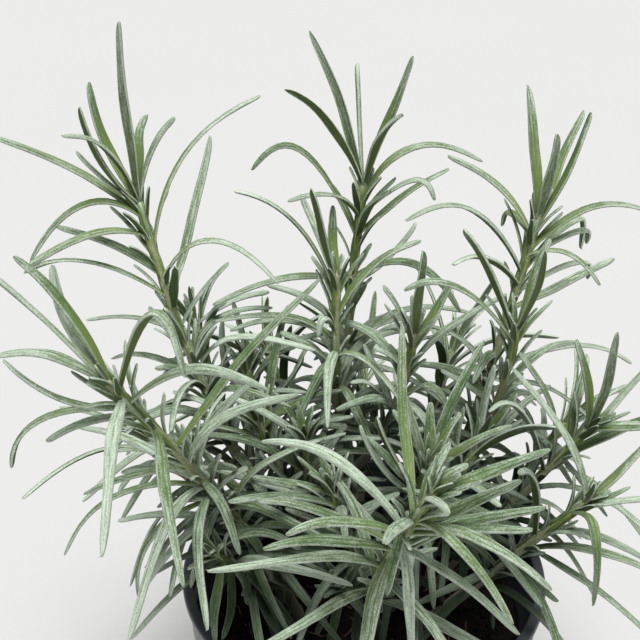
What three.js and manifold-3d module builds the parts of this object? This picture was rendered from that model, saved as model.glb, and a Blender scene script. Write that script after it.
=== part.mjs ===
// A potted curry plant: a thin round nursery pot, the soil in it, and the leafy stems that stand in the soil.
// Millimetres, +Z up. The origin is the middle of the pot's flat base, +X is to the right, -Y is the front.
import * as THREE from "three";
import { mergeVertices } from "three/addons/utils/BufferGeometryUtils.js";
import Module from "manifold-3d";

const wasm = await Module();
wasm.setup();

// ---- Pot ----
const POT_HEIGHT = 80;
const RIM_RADIUS = 45;
const LIP_WIDTH = 2.6;
const LIP_DEPTH = 2.2;
const COLLAR_HEIGHT = 13;
const COLLAR_RADIUS = RIM_RADIUS - 1.3;
const COLLAR_STEP = 1;
const INNER_SHOULDER = POT_HEIGHT - COLLAR_HEIGHT - 2 * COLLAR_STEP;
const BEVEL = 0.6;
const WALL = 1.3;
const WALL_RADIUS_TOP = 41.8;
const BASE_RADIUS = 31;
const BASE_THICKNESS = 1.8;
const POT_SIDES = 40;
const DRAIN_COUNT = 8;
const DRAIN_RADIUS = 2.6;
const DRAIN_CIRCLE = 23;
const DRAIN_CUT = 3 * BASE_THICKNESS;

// ---- Soil ----
const CLEARANCE = 0.3;
const WALL_CLEARANCE = 0.45;
const SOIL_LEVEL = 70;
const SOIL_SWELL = 0.9;
const SOIL_RIPPLE = 0.5;
const SWELL_WAVES = [5, 6];
const RIPPLE_WAVES = [2.6, 3.1];
const SOIL_RINGS = [37, 28, 19, 10];
const SOIL_SIDES = 20;
const HOLE_SIDES = 8;
const HOLE_RISE = 10;

// ---- Stems ----
const PEG_DEPTH = 18;
const STEM_SIDES = 5;
const STEM_STEPS = 5;
const STEM_RADIUS = 1.5;
const TIP_RADIUS = 0.8;
const SHOOT_RADIUS = 1.1;

// ---- Blades ----
const BLADE_WIDTH = 2.3;
const BLADE_KEEL = 1.0;
// Rings along a blade, each at a share of its length with a share of its width.
const ARCHED_RINGS = [
  { at: 0.18, width: 0.9 },
  { at: 0.42, width: 1.0 },
  { at: 0.68, width: 1.0 },
  { at: 0.91, width: 0.75 },
];
const PLAIN_RINGS = [
  { at: 0.25, width: 0.95 },
  { at: 0.6, width: 1.0 },
  { at: 0.9, width: 0.75 },
];
const ROOT_DEPTH = 0.7;
// Blades by rule, where age is 0 at the growing tip and 1 at the foot: how long a blade is, how far it
// opens from its shoot in degrees, where it bends, and how far it droops.
const LAYOUT_SEED = 100;
const GOLDEN_ANGLE = 137.5;
const YOUNG_LENGTH = 17;
const GROWN_LENGTH = 36;
const GROWN_AGE = 0.2;
const SHORTENING = 12;
const SHORTENING_AGE = 0.3;
const YOUNG_OPENING = 14;
const OLD_OPENING = 80;
const OLD_AGE = 0.5;
const OPENING_POWER = 0.8;
const BEND_OPENING = 0.42;
const DROOP = 14;
const DROOP_AGE = 0.3;
const SIDE_SHOOT_SCALE = 0.85;
// How unevenly blades by rule come, and how much they crowd towards the upper end of their stretch.
const CROWDING = 1.2;
const TURN_SCATTER = 30;
const LENGTH_SCATTER = 0.3;
const LEAN_SCATTER = 16;

// How far apart the centre lines of blades are kept, and the turns that are tried to keep them so.
const SAMPLE_STEP = 1.5;
const NEIGHBOUR_GAP = 3.1;
const OWN_GAP = 2.2;
const OWN_FREE_SHARE = 0.3;
const TURNS = [0, 14, -14, 28, -28, 42, -42];
const SOIL_GAP = 2.5;
const RIM_GAP_SIDE = 2.5;
const RIM_GAP_ABOVE = 1.8;
const FLOOR_GAP = 4;

// A shoot runs from the soil, or from a share of the way up the stem's first shoot, through a bend to
// its growing tip. `count` blades grow on it by rule, from the share `low` to the share `high` of it.
// Each row of its own list is a blade: the share of the way up where it grows, its compass direction
// (0 is +X, 90 is +Y), its reach, its rise, the share of the reach at its bend, the height there, and,
// where it rolls about its length, the roll in degrees.
const STEMS = [
  {
    name: "stem_left_tall",
    foot: [-14, 8],
    shoots: [
      {
        bend: [-38, 2, 118],
        tip: [-50, 10, 173],
        low: 0.2,
        high: 0.62,
        count: 9,
        blades: [
          [1.0, -105, 2, 39, 0.5, 20],
          [1.0, 140, 13, 24, 0.8, 11],
          [1.0, -135, 17, 19, 0.3, 18],
          [1.0, 85, 14, 15, 0, 15],
          [1.0, -15, 9, 19, 0.25, 14],
          [0.9, 15, 25, 33, 0.1, 25],
          [0.8, 70, 24, 30, 0.7, 14],
          [0.84, -15, 27, 2, 0.4, 21],
          [0.97, 175, 32, 18, 0.35, 12],
          [0.97, 180, 25, -8, 0.5, 13],
          [0.93, -150, 28, -1, 0.4, 8],
          [0.85, 160, 26, 8, 0.35, 7],
          [0.8, -175, 31, 7, 0.6, 16],
        ],
      },
      {
        from: 0.45,
        bend: [-37, 15, 126],
        tip: [-41, 20, 138],
        low: 0.2,
        high: 0.9,
        count: 5,
        blades: [
          [0.97, 0, 18, 9, 0.4, 8],
        ],
      },
      {
        from: 0.3,
        bend: [-29, 12, 112],
        tip: [-28, 16, 127],
        low: 0.1,
        high: 0.9,
        count: 5,
        blades: [
          [0.98, 180, 3, 19, -0.2, 7],
          [0.87, 145, 7, 16, 1.15, -3],
          [0.87, -10, 12, 12, 0.4, 10],
          [0.75, -25, 15, 16, 0.6, 2],
        ],
      },
    ],
  },
  {
    name: "stem_middle_tall",
    foot: [-3, 10],
    shoots: [
      {
        bend: [-7, 18, 120],
        tip: [-1, 20, 173],
        low: 0.15,
        high: 0.6,
        count: 11,
        blades: [
          [1.0, 170, 12, 34, 0.35, 17, 84],
          [1.0, -165, 18, 23, 0.35, 18, 60],
          [1.0, 105, 6, 26, 0.65, 16, 88],
          [1.0, 0, 10, 29, 0.45, 17, 84],
          [1.0, 45, 8, 22, 0.4, 13],
          [1.0, -35, 11, 19, 0.3, 15],
          [0.97, 10, 28, 7, 0.3, 20],
          [0.89, 40, 29, 9, 0.5, 7],
          [0.93, -25, 18, 7, 0.85, 18],
          [0.87, -65, 15, 18, 0.1, 10],
          [0.88, -170, 24, 18, 0.55, 35],
          [0.93, -130, 24, 11, 0.3, 11],
          [0.79, -20, 26, -5, 0.65, 14],
        ],
      },
      {
        from: 0.35,
        bend: [-8, 6, 126],
        tip: [-7, 8, 156],
        low: 0.1,
        high: 0.85,
        count: 6,
        blades: [
          [0.97, -150, 8, 25, 0.5, 14],
          [1.0, 90, 5, 15, 0.8, 7],
          [0.97, 120, 16, 16, 0.4, 10],
          [0.93, -170, 22, 26, 0.35, 24],
          [0.74, 170, 25, -1, 0.45, 7],
          [0.77, -125, 7, 1, 0.85, 10],
          [0.55, -170, 13, 12, 0.45, 10, -40],
          [0.37, 0, 8, 19, 0.2, 14],
          [0.29, -140, 13, 3, 0.45, 7],
        ],
      },
      {
        from: 0.25,
        bend: [8, 2, 118],
        tip: [10, 0, 146],
        low: 0.1,
        high: 0.85,
        count: 7,
        blades: [
          [0.95, -80, 3, 24, 0.9, 13],
          [0.96, 25, 9, 13, 0.6, 7],
          [0.95, -145, 7, 15, 0.4, 10],
          [0.8, -165, 8, 8, 0.35, 6],
          [0.67, -20, 12, -2, 0.75, 9],
          [0.56, -150, 12, 12, 0.55, 14],
          [0.57, 165, 8, 16, 0.2, 7],
          [0.47, 10, 14, 3, 0.6, -2],
          [0.39, -170, 14, 5, 0.55, 5],
        ],
      },
    ],
  },
  {
    name: "stem_right_tall",
    foot: [14, 8],
    shoots: [
      {
        bend: [28, 12, 115],
        tip: [38, 15, 168],
        low: 0.15,
        high: 0.56,
        count: 8,
        blades: [
          [0.99, 105, 12, 27, 0.1, 16],
          [0.97, 10, 10, 26, 0.6, 12],
          [0.98, 55, 20, 21, 0.5, 11],
          [0.99, -75, 4, 21, 0.9, 12],
          [0.95, 155, 20, 18, 0.25, 13],
          [0.87, -160, 30, 17, 0.45, 26],
          [0.84, -140, 23, 12, 0.5, 14],
          [0.92, 5, 28, 8, 0.45, 16],
          [0.87, 35, 20, 0, 1.1, 19],
          [0.91, -20, 17, -5, 0.6, 6],
          [0.82, 35, 25, -4, 1.1, 7],
          [0.78, -10, 23, 12, 0.6, 7],
          [0.62, 10, 36, -2, 0.65, 10],
        ],
      },
      {
        from: 0.3,
        bend: [31, 0, 122],
        tip: [32, -2, 148],
        low: 0.1,
        high: 0.7,
        count: 5,
        blades: [
          [1.0, 35, 7, 20, 0.55, 15],
          [1.0, -65, 7, 22, 0.95, 15],
          [0.97, -165, 14, 27, 0.5, 19],
          [0.94, -160, 27, 17, 0.6, 24],
          [0.33, -165, 14, 3, 0.55, 7],
          [0.4, -10, 14, -1, 0.55, 5],
          [0.56, 180, 13, 10, 0.45, 7],
        ],
      },
    ],
  },
  {
    name: "stem_left_front",
    foot: [-16, -10],
    shoots: [
      {
        bend: [-30, -22, 118],
        tip: [-48, -45, 161],
        low: 0.2,
        high: 0.7,
        count: 6,
        blades: [
          [1.0, -150, 17, 26, 0.45, 14],
          [1.0, 145, 11, 20, 1.0, 11],
          [0.99, 170, 15, 24, 0.25, 17],
          [0.97, -35, 17, 9, 0.7, 34],
          [1.0, 170, 20, 4, 0.5, 8],
          [0.92, -150, 21, 16, 0.6, 2],
          [0.91, -165, 23, -9, 0.95, 6],
          [0.89, 180, 18, -6, 0.55, 0],
          [0.95, -90, 30, -11, 0.15, 2, -15],
          [0.83, -75, 31, -12, 0.5, 8],
          [0.93, -25, 29, 11, 0.45, 16, 30],
          [0.75, 25, 31, 31, 0.4, 16, 45],
          [0.55, -160, 18, -24, 1.15, -2],
          [0.67, 170, 24, -10, 0.45, 0],
          [0.62, -50, 13, -11, 0.5, 2],
          [0.45, -45, 12, -10, 0.5, 2],
        ],
      },
      {
        from: 0.35,
        bend: [-34, -16, 112],
        tip: [-38, -15, 121],
        low: 0.2,
        high: 0.9,
        count: 6,
        blades: [
          [0.99, -20, 26, -2, 0.4, 3],
          [0.75, 175, 35, -23, 0.7, 3],
          [0.32, 180, 25, -1, 0.6, 2],
        ],
      },
    ],
  },
  {
    name: "stem_right_upper",
    foot: [20, 2],
    shoots: [
      {
        bend: [36, 0, 100],
        tip: [50, -5, 124],
        low: 0.1,
        high: 0.8,
        count: 9,
        blades: [
          [1.0, -80, 7, 29, 0.8, 16],
          [0.97, 20, 17, 18, 0.45, 6],
          [1.0, 135, 6, 21, 0, 14],
          [1.0, -30, 16, 6, 0.5, 4],
          [0.87, 70, 15, 17, 0, 15],
          [0.72, -150, 19, 23, 0.5, 29],
          [1.0, 5, 22, -4, 0.55, 4],
          [0.42, -25, 14, 4, 0.45, 13],
          [0.5, 180, 11, 13, 0.35, 10],
          [0.61, 60, 2, 21, 1.4, 9],
        ],
      },
    ],
  },
  {
    name: "stem_right_lower",
    foot: [16, -12],
    shoots: [
      {
        bend: [28, -22, 98],
        tip: [44, -30, 123],
        low: 0.1,
        high: 0.65,
        count: 10,
        blades: [
          [1.0, 155, 18, 28, 0, 12],
          [0.95, 10, 16, 18, 0.45, 8],
          [0.96, -25, 18, 9, 0.5, 6],
          [0.93, -80, 14, -13, 1.2, 15],
          [0.68, -10, 30, -22, 0.45, -6],
          [0.79, 15, 28, -15, 0.4, 0],
          [0.73, -140, 9, 22, 0, 22],
          [0.5, -170, 12, 12, 0.4, 9],
          [0.58, -30, 12, -7, 0.5, -4],
        ],
      },
    ],
  },
  {
    name: "stem_front",
    foot: [3, -14],
    shoots: [
      {
        bend: [-4, -54, 122],
        tip: [8, -64, 152],
        low: 0.15,
        high: 0.66,
        count: 8,
        blades: [
          [0.81, 165, 26, 14, 0.4, 17, -35],
          [0.79, -165, 21, 4, 0.55, 9, -25],
          [0.95, 10, 21, 8, 0.35, 6, 20],
          [0.86, -35, 20, -13, 0.45, 5],
          [0.87, 95, 22, 26, 0.55, 12],
          [0.76, -55, 5, -25, 1.0, -6],
          [0.68, -135, 9, -30, 0.6, -9],
          [0.57, -120, 8, -24, 0.6, -5],
          [0.73, 0, 24, -22, 0.4, -4],
          [0.84, -15, 25, -9, 0.55, 4],
          [0.93, -38, 13, 9, 0.35, 8],
          [0.86, -115, 13, 5, 0.5, 6],
          [0.86, 10, 19, 6, 0.45, 1, 15],
          [0.8, -3, 22, 2, 0.4, 2, 15],
          [0.73, 165, 26, 4, 0.55, 8, -20],
          [0.71, 175, 24, -2, 0.5, 3, -20],
          [0.91, 55, 9, 9, 0.1, 7],
          [0.97, 0, 6, 7, 0.25, 6],
        ],
      },
      {
        from: 0.12,
        bend: [-4, -28, 94],
        tip: [-6, -33, 103],
        low: 0.3,
        high: 0.8,
        count: 3,
        blades: [
          [1.0, 165, 17, 4, 0.5, 3],
          [1.0, -115, 8, -12, 0.5, -3],
          [1.0, -20, 8, -4, 0.5, 0],
          [1.0, 60, 3, 7, 0.5, 4],
          [0.63, -175, 17, 13, 0.4, 11],
          [0.85, -145, 8, -8, 0.55, 0],
          [0.91, -55, 8, 2, 0.45, 2],
        ],
      },
      {
        from: 0.25,
        bend: [-5, -27, 112],
        tip: [-8, -27, 123],
        low: 0.2,
        high: 0.9,
        count: 5,
        blades: [
          [1.0, 175, 17, 3, 0.5, 3],
          [1.0, -40, 11, -3, 0.5, 2],
          [0.85, -170, 24, 9, 0.5, 10],
          [0.38, -170, 21, 4, 0.4, 4],
          [0.69, 10, 12, 6, 0.45, 5],
          [0.58, 180, 13, 7, 0.35, 3],
          [0.8, 25, 5, 13, 0.2, 8],
        ],
      },
    ],
  },
  {
    name: "stem_middle_front",
    foot: [7, -5],
    shoots: [
      {
        bend: [9, -14, 108],
        tip: [12, -23, 127],
        low: 0.15,
        high: 0.95,
        count: 12,
        blades: [
          [0.95, 30, 8, 12, 0.5, 9],
          [0.95, 80, 5, 14, 0.5, 9],
          [0.9, 130, 10, 12, 0.4, 9],
          [0.81, -170, 10, 19, 0.7, 8],
          [0.73, -170, 13, 20, 0.75, 8],
          [0.95, 45, 3, 14, -0.2, 8],
          [0.57, 180, 16, 15, 0.35, 4],
          [0.77, 165, 15, 7, 0.35, 3],
        ],
      },
      {
        from: 0.3,
        bend: [20, -8, 108],
        tip: [25, -6, 120],
        low: 0.15,
        high: 1.0,
        count: 10,
        blades: [
          [0.55, 45, 3, 22, -0.1, 12],
          [0.87, 25, 4, 24, 0.4, 10],
          [0.75, 180, 11, 12, 0.3, 16],
          [0.62, -15, 17, -1, 0.6, 3],
          [0.46, -25, 14, -3, 0.45, 3],
        ],
      },
    ],
  },
  {
    name: "stem_left_low",
    foot: [-20, -20],
    shoots: [
      {
        bend: [-25, -24, 100],
        tip: [-33, -35, 114],
        low: 0.3,
        high: 0.75,
        count: 4,
        blades: [
          [0.98, -25, 18, 0, 0.4, 11],
          [0.88, -110, 6, -19, 1.0, -6],
          [0.78, -30, 4, -10, 1.2, -1],
          [0.79, -115, 5, -18, 0, -12],
          [0.74, 0, 15, -23, 0.45, -4],
          [0.5, -10, 11, -13, 0.2, -3],
          [0.4, 15, 17, -15, 0.4, 9],
          [0.67, 10, 13, -10, 0.6, -1],
        ],
      },
    ],
  },
  {
    name: "stem_middle_low",
    foot: [-9, 0],
    shoots: [
      {
        bend: [-18, -2, 105],
        tip: [-25, -2, 124],
        low: 0.15,
        high: 0.85,
        count: 10,
        blades: [
          [0.95, 10, 19, 8, 0.3, 8, 25],
          [0.8, 0, 19, 10, 0.25, 8, 25],
          [0.95, 175, 20, 9, 0.4, 7],
          [0.85, 180, 16, 5, 0.5, 6],
        ],
      },
      {
        from: 0.35,
        bend: [-13, -8, 112],
        tip: [-14, -10, 125],
        low: 0.15,
        high: 0.95,
        count: 9,
        blades: [
          [0.4, -160, 11, 14, 0.6, 5],
          [0.63, 15, 9, 11, 0.6, 7],
          [0.86, 20, 6, 12, 0.15, 5],
          [0.28, -25, 15, -1, 0.4, 5],
          [0.22, -5, 19, 9, 0.45, 11],
        ],
      },
      {
        from: 0.2,
        bend: [-20, -12, 98],
        tip: [-24, -15, 108],
        low: 0.15,
        high: 0.95,
        count: 8,
        blades: [
          [0.5, -150, 13, 6, 0.45, 8],
          [0.92, 180, 14, 4, 0.45, 3],
          [0.76, -25, 14, 1, 0.55, 4],
          [0.85, 0, 8, 14, 0.25, 9],
        ],
      },
    ],
  },
  {
    name: "stem_back_left",
    foot: [-9, 21],
    shoots: [
      {
        bend: [-16, 32, 98],
        tip: [-25, 46, 114],
        low: 0.15,
        high: 1.0,
        count: 18,
        blades: [],
      },
    ],
  },
  {
    name: "stem_back_right",
    foot: [10, 21],
    shoots: [
      {
        bend: [18, 32, 100],
        tip: [26, 47, 117],
        low: 0.15,
        high: 1.0,
        count: 18,
        blades: [],
      },
    ],
  },
  {
    name: "stem_back_middle",
    foot: [0, 29],
    shoots: [
      {
        bend: [1, 42, 94],
        tip: [2, 58, 104],
        low: 0.15,
        high: 1.0,
        count: 16,
        blades: [],
      },
    ],
  },
  {
    name: "stem_side_right",
    foot: [28, 10],
    shoots: [
      {
        bend: [40, 18, 92],
        tip: [54, 26, 106],
        low: 0.3,
        high: 1.0,
        count: 9,
        blades: [],
      },
    ],
  },
  {
    name: "stem_side_left",
    foot: [-27, 6],
    shoots: [
      {
        bend: [-40, 14, 92],
        tip: [-56, 20, 106],
        low: 0.45,
        high: 1.0,
        count: 10,
        blades: [],
      },
    ],
  },
];

// ---- Layout of the plant ----
const DEGREE = Math.PI / 180;
const X_AXIS = new THREE.Vector3(1, 0, 0);
const FOOT_LEVEL = SOIL_LEVEL + SOIL_GAP;

// A seeded source of numbers from 0 to 1, so that the plant is the same each time.
function seededRandom(seed) {
  let state = seed;
  return () => {
    state = (state + 0x6d2b79f5) >>> 0;
    let mixed = Math.imul(state ^ (state >>> 15), state | 1);
    mixed ^= mixed + Math.imul(mixed ^ (mixed >>> 7), mixed | 61);
    return ((mixed ^ (mixed >>> 14)) >>> 0) / 2 ** 32;
  };
}

function soilHeight(x, y) {
  const swell = Math.sin(x / SWELL_WAVES[0] + 1) * Math.cos(y / SWELL_WAVES[1]);
  const ripple = Math.sin(x / RIPPLE_WAVES[0] - y / RIPPLE_WAVES[1]);
  return SOIL_LEVEL + SOIL_SWELL * swell + SOIL_RIPPLE * ripple;
}

// Two directions square to a tangent, the first as near to +X as it can be.
function squareTo(tangent) {
  const first = X_AXIS.clone().addScaledVector(tangent, -tangent.dot(X_AXIS)).normalize();
  return [first, tangent.clone().cross(first)];
}

// The centre lines of a stem's shoots, the first from the soil and the rest from the first.
function shootCurves({ foot, shoots }) {
  const curves = [];
  for (const { from, bend, tip } of shoots) {
    const start = from === undefined ? new THREE.Vector3(...foot, FOOT_LEVEL) : curves[0].getPoint(from);
    const [middle, end] = [bend, tip].map((place) => new THREE.Vector3(...place));
    curves.push(new THREE.QuadraticBezierCurve3(start, middle, end));
  }
  return curves;
}

// A blade from its listed row, turned about its root by `turn` degrees.
function listedBlade(curve, [share, compass, reach, rise, bendShare, bendHeight, roll = 0], turn) {
  const angle = (compass + turn) * DEGREE;
  const out = new THREE.Vector3(Math.cos(angle), Math.sin(angle), 0);
  const root = curve.getPoint(share);
  const bend = root.clone().addScaledVector(out, reach * bendShare);
  bend.z += bendHeight;
  const tip = root.clone().addScaledVector(out, reach);
  tip.z += rise;
  const across = new THREE.Vector3(-out.y, out.x, 0).multiplyScalar(Math.cos(roll * DEGREE));
  across.z = Math.sin(roll * DEGREE);
  return { line: new THREE.QuadraticBezierCurve3(root, bend, tip), across, rings: ARCHED_RINGS };
}

// A blade by rule: upright and short at the growing tip, then long and arching, then spreading and lower.
function ruledBlade(curve, { share, angle, stretch, lean, droop }, turn) {
  const age = 1 - share;
  const root = curve.getPoint(share);
  const tangent = curve.getTangent(share);
  const [first, second] = squareTo(tangent);
  const around = (angle + turn) * DEGREE;
  const side = first.multiplyScalar(Math.cos(around)).addScaledVector(second, Math.sin(around));
  const growth = Math.min(1, age / GROWN_AGE);
  const shortening = SHORTENING * Math.max(0, age - SHORTENING_AGE);
  const length = stretch * (YOUNG_LENGTH + (GROWN_LENGTH - YOUNG_LENGTH) * growth - shortening);
  const spread = Math.min(1, age / OLD_AGE) ** OPENING_POWER;
  const opening = (lean + YOUNG_OPENING + (OLD_OPENING - YOUNG_OPENING) * spread) * DEGREE;
  const along = (angleFromStem, size, sink) => {
    const point = root.clone().addScaledVector(tangent, size * Math.cos(angleFromStem));
    point.addScaledVector(side, size * Math.sin(angleFromStem));
    point.z -= sink;
    return point;
  };
  const bend = along(opening * BEND_OPENING, length / 2, 0);
  const tip = along(opening, length, droop * Math.min(1, age / DROOP_AGE));
  const across = tangent.clone().cross(side);
  return { line: new THREE.QuadraticBezierCurve3(root, bend, tip), across, rings: PLAIN_RINGS };
}

function clearOfPot({ x, y, z }) {
  const radius = Math.hypot(x, y);
  if (radius > RIM_RADIUS + RIM_GAP_SIDE) return z > FLOOR_GAP;
  if (radius > WALL_RADIUS_TOP - WALL - RIM_GAP_SIDE) return z > POT_HEIGHT + RIM_GAP_ABOVE;
  return z > SOIL_LEVEL + SOIL_GAP;
}

// Lays out every blade of every stem, keeping each clear of the pot and of what is already there.
function growPlant() {
  const taken = [];
  const plant = STEMS.map((stem, index) => ({
    name: stem.name,
    curves: shootCurves(stem),
    blades: [],
    random: seededRandom(LAYOUT_SEED + index),
  }));

  const take = (points, index) => points.forEach((point) => taken.push({ point, index }));

  const fits = (points, index) =>
    points.every((point, i) => {
      if (!clearOfPot(point)) return false;
      const ownGap = i / points.length < OWN_FREE_SHARE ? 0 : OWN_GAP;
      return taken.every((other) => {
        const gap = other.index === index ? ownGap : NEIGHBOUR_GAP;
        return point.distanceToSquared(other.point) >= gap * gap;
      });
    });

  const place = (index, makeBlade) => {
    for (const turn of TURNS) {
      const blade = makeBlade(turn);
      const steps = Math.ceil(blade.line.getLength() / SAMPLE_STEP);
      const points = blade.line.getPoints(steps);
      if (fits(points, index)) {
        take(points, index);
        plant[index].blades.push(blade);
        return;
      }
    }
  };

  plant.forEach(({ curves }, index) => {
    for (const curve of curves) take(curve.getPoints(Math.ceil(curve.getLength() / SAMPLE_STEP)), index);
  });
  STEMS.forEach(({ shoots }, index) => {
    shoots.forEach((shoot, i) => {
      for (const row of shoot.blades) place(index, (turn) => listedBlade(plant[index].curves[i], row, turn));
    });
  });
  STEMS.forEach(({ shoots }, index) => {
    const { random, curves } = plant[index];
    shoots.forEach(({ from, low, high, count }, i) => {
      for (let k = 0; k < count; k += 1) {
        const habit = {
          share: high - (high - low) * ((k + random()) / count) ** CROWDING,
          angle: GOLDEN_ANGLE * k + TURN_SCATTER * random(),
          stretch: (from === undefined ? 1 : SIDE_SHOOT_SCALE) * (1 + LENGTH_SCATTER * (random() - 0.5)),
          lean: LEAN_SCATTER * (random() - 0.5),
          droop: DROOP * random(),
        };
        place(index, (turn) => ruledBlade(curves[i], habit, turn));
      }
    });
  });
  return plant;
}

// ---- Solids ----
const SAME_POINT = 1e-4;
const SMALLEST_DETAIL = 0.01;

// A closed mesh as a manifold-3d solid.
function toSolid(geometry) {
  const bare = geometry.clone();
  bare.deleteAttribute("normal");
  bare.deleteAttribute("uv");
  const merged = mergeVertices(bare, SAME_POINT);
  return new wasm.Manifold(
    new wasm.Mesh({
      numProp: 3,
      vertProperties: new Float32Array(merged.attributes.position.array),
      triVerts: new Uint32Array(merged.index.array),
    }),
  );
}

function toGeometry(solid) {
  const mesh = solid.getMesh();
  const geometry = new THREE.BufferGeometry();
  geometry.setAttribute("position", new THREE.BufferAttribute(mesh.vertProperties, 3));
  geometry.setIndex(new THREE.BufferAttribute(mesh.triVerts, 1));
  const faceted = geometry.toNonIndexed();
  faceted.computeVertexNormals();
  return faceted;
}

// A skin over rings of points, all rings alike in count, closed by a point before the first ring and
// a point after the last.
function skin(before, rings, after) {
  const sides = rings[0].length;
  const points = [before, ...rings.flat(), after];
  const last = points.length - 1;
  const triangles = [];
  for (let i = 0; i < sides; i += 1) {
    const next = (i + 1) % sides;
    triangles.push(0, 1 + next, 1 + i);
    for (let ring = 0; ring < rings.length - 1; ring += 1) {
      const low = 1 + ring * sides;
      const high = low + sides;
      triangles.push(low + i, low + next, high + i, low + next, high + next, high + i);
    }
    const top = 1 + (rings.length - 1) * sides;
    triangles.push(top + i, top + next, last);
  }
  const geometry = new THREE.BufferGeometry();
  const positions = points.flatMap((point) => point.toArray());
  geometry.setAttribute("position", new THREE.Float32BufferAttribute(positions, 3));
  geometry.setIndex(triangles);
  return geometry;
}

function ringAround(centre, tangent, radius) {
  const [first, second] = squareTo(tangent);
  return Array.from({ length: STEM_SIDES }, (_, i) => {
    const angle = (i / STEM_SIDES) * 2 * Math.PI;
    const point = centre.clone().addScaledVector(first, radius * Math.cos(angle));
    return point.addScaledVector(second, radius * Math.sin(angle));
  });
}

// A shoot with a pointed growing tip. The first shoot of a stem also has a straight peg in the soil.
function shootSolid(curve, startRadius, pegged) {
  const rings = [];
  let before = curve.getPoint(0);
  if (pegged) {
    before.z = SOIL_LEVEL - PEG_DEPTH;
    rings.push(ringAround(before, new THREE.Vector3(0, 0, 1), startRadius));
  }
  for (let i = 0; i <= STEM_STEPS; i += 1) {
    const share = i / STEM_STEPS;
    const radius = startRadius + (TIP_RADIUS - startRadius) * share;
    const tangent = i === 0 && pegged ? new THREE.Vector3(0, 0, 1) : curve.getTangent(share);
    rings.push(ringAround(curve.getPoint(share), tangent, radius));
  }
  const after = curve.getPoint(1).addScaledVector(curve.getTangent(1), 2 * TIP_RADIUS);
  return toSolid(skin(before, rings, after));
}

// A blade is flat above and keeled below, and narrows to its root and to its tip.
function bladeSolid({ line, across, rings }) {
  const sections = rings.map(({ at, width }) => {
    const centre = line.getPoint(at);
    const tangent = line.getTangent(at);
    const side = across.clone().addScaledVector(tangent, -tangent.dot(across)).normalize();
    const under = tangent.clone().cross(side).negate();
    const edge = side.clone().multiplyScalar((width * BLADE_WIDTH) / 2);
    const keel = centre.clone().addScaledVector(under, width * BLADE_KEEL);
    return [centre.clone().sub(edge), keel, centre.clone().add(edge)];
  });
  const root = line.getPoint(0).addScaledVector(line.getTangent(0), -ROOT_DEPTH);
  return toSolid(skin(root, sections, line.getPoint(1)));
}

// The outer skin of a solid: a hollow sealed inside it is filled and a loose crumb is dropped.
function outerSkin(solid) {
  return solid.decompose().reduce((largest, piece) => (piece.volume() > largest.volume() ? piece : largest));
}

function stemSolid({ curves, blades }) {
  const shoots = curves.map((curve, i) => shootSolid(curve, i === 0 ? STEM_RADIUS : SHOOT_RADIUS, i === 0));
  return outerSkin(wasm.Manifold.union([...shoots, ...blades.map(bladeSolid)]).simplify(SMALLEST_DETAIL));
}

// The pot is turned from one closed outline: a flat base, a sloping wall, a collar and a rolled lip.
function potSolid() {
  const collarFoot = POT_HEIGHT - COLLAR_HEIGHT;
  const lipInside = RIM_RADIUS - LIP_WIDTH;
  const outline = [
    [0, 0],
    [BASE_RADIUS - BEVEL, 0],
    [BASE_RADIUS, BEVEL],
    [WALL_RADIUS_TOP, collarFoot - COLLAR_STEP],
    [COLLAR_RADIUS, collarFoot],
    [COLLAR_RADIUS, POT_HEIGHT - LIP_DEPTH],
    [RIM_RADIUS, POT_HEIGHT - LIP_DEPTH + BEVEL],
    [RIM_RADIUS, POT_HEIGHT - BEVEL],
    [RIM_RADIUS - BEVEL, POT_HEIGHT],
    [lipInside + BEVEL, POT_HEIGHT],
    [lipInside, POT_HEIGHT - BEVEL],
    [WALL_RADIUS_TOP - WALL, INNER_SHOULDER],
    [BASE_RADIUS - WALL, BASE_THICKNESS],
    [0, BASE_THICKNESS],
  ];
  const points = outline.map(([radius, z]) => new THREE.Vector2(radius, z));
  const turned = new THREE.LatheGeometry(points, POT_SIDES);
  turned.rotateX(90 * DEGREE);
  const drains = Array.from({ length: DRAIN_COUNT }, (_, i) => {
    const angle = ((i + 0.5) / DRAIN_COUNT) * 2 * Math.PI;
    const drain = new THREE.CylinderGeometry(DRAIN_RADIUS, DRAIN_RADIUS, DRAIN_CUT, HOLE_SIDES);
    drain.rotateX(90 * DEGREE);
    drain.translate(DRAIN_CIRCLE * Math.cos(angle), DRAIN_CIRCLE * Math.sin(angle), BASE_THICKNESS / 2);
    return toSolid(drain);
  });
  return toSolid(turned).subtract(wasm.Manifold.union(drains));
}

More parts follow.
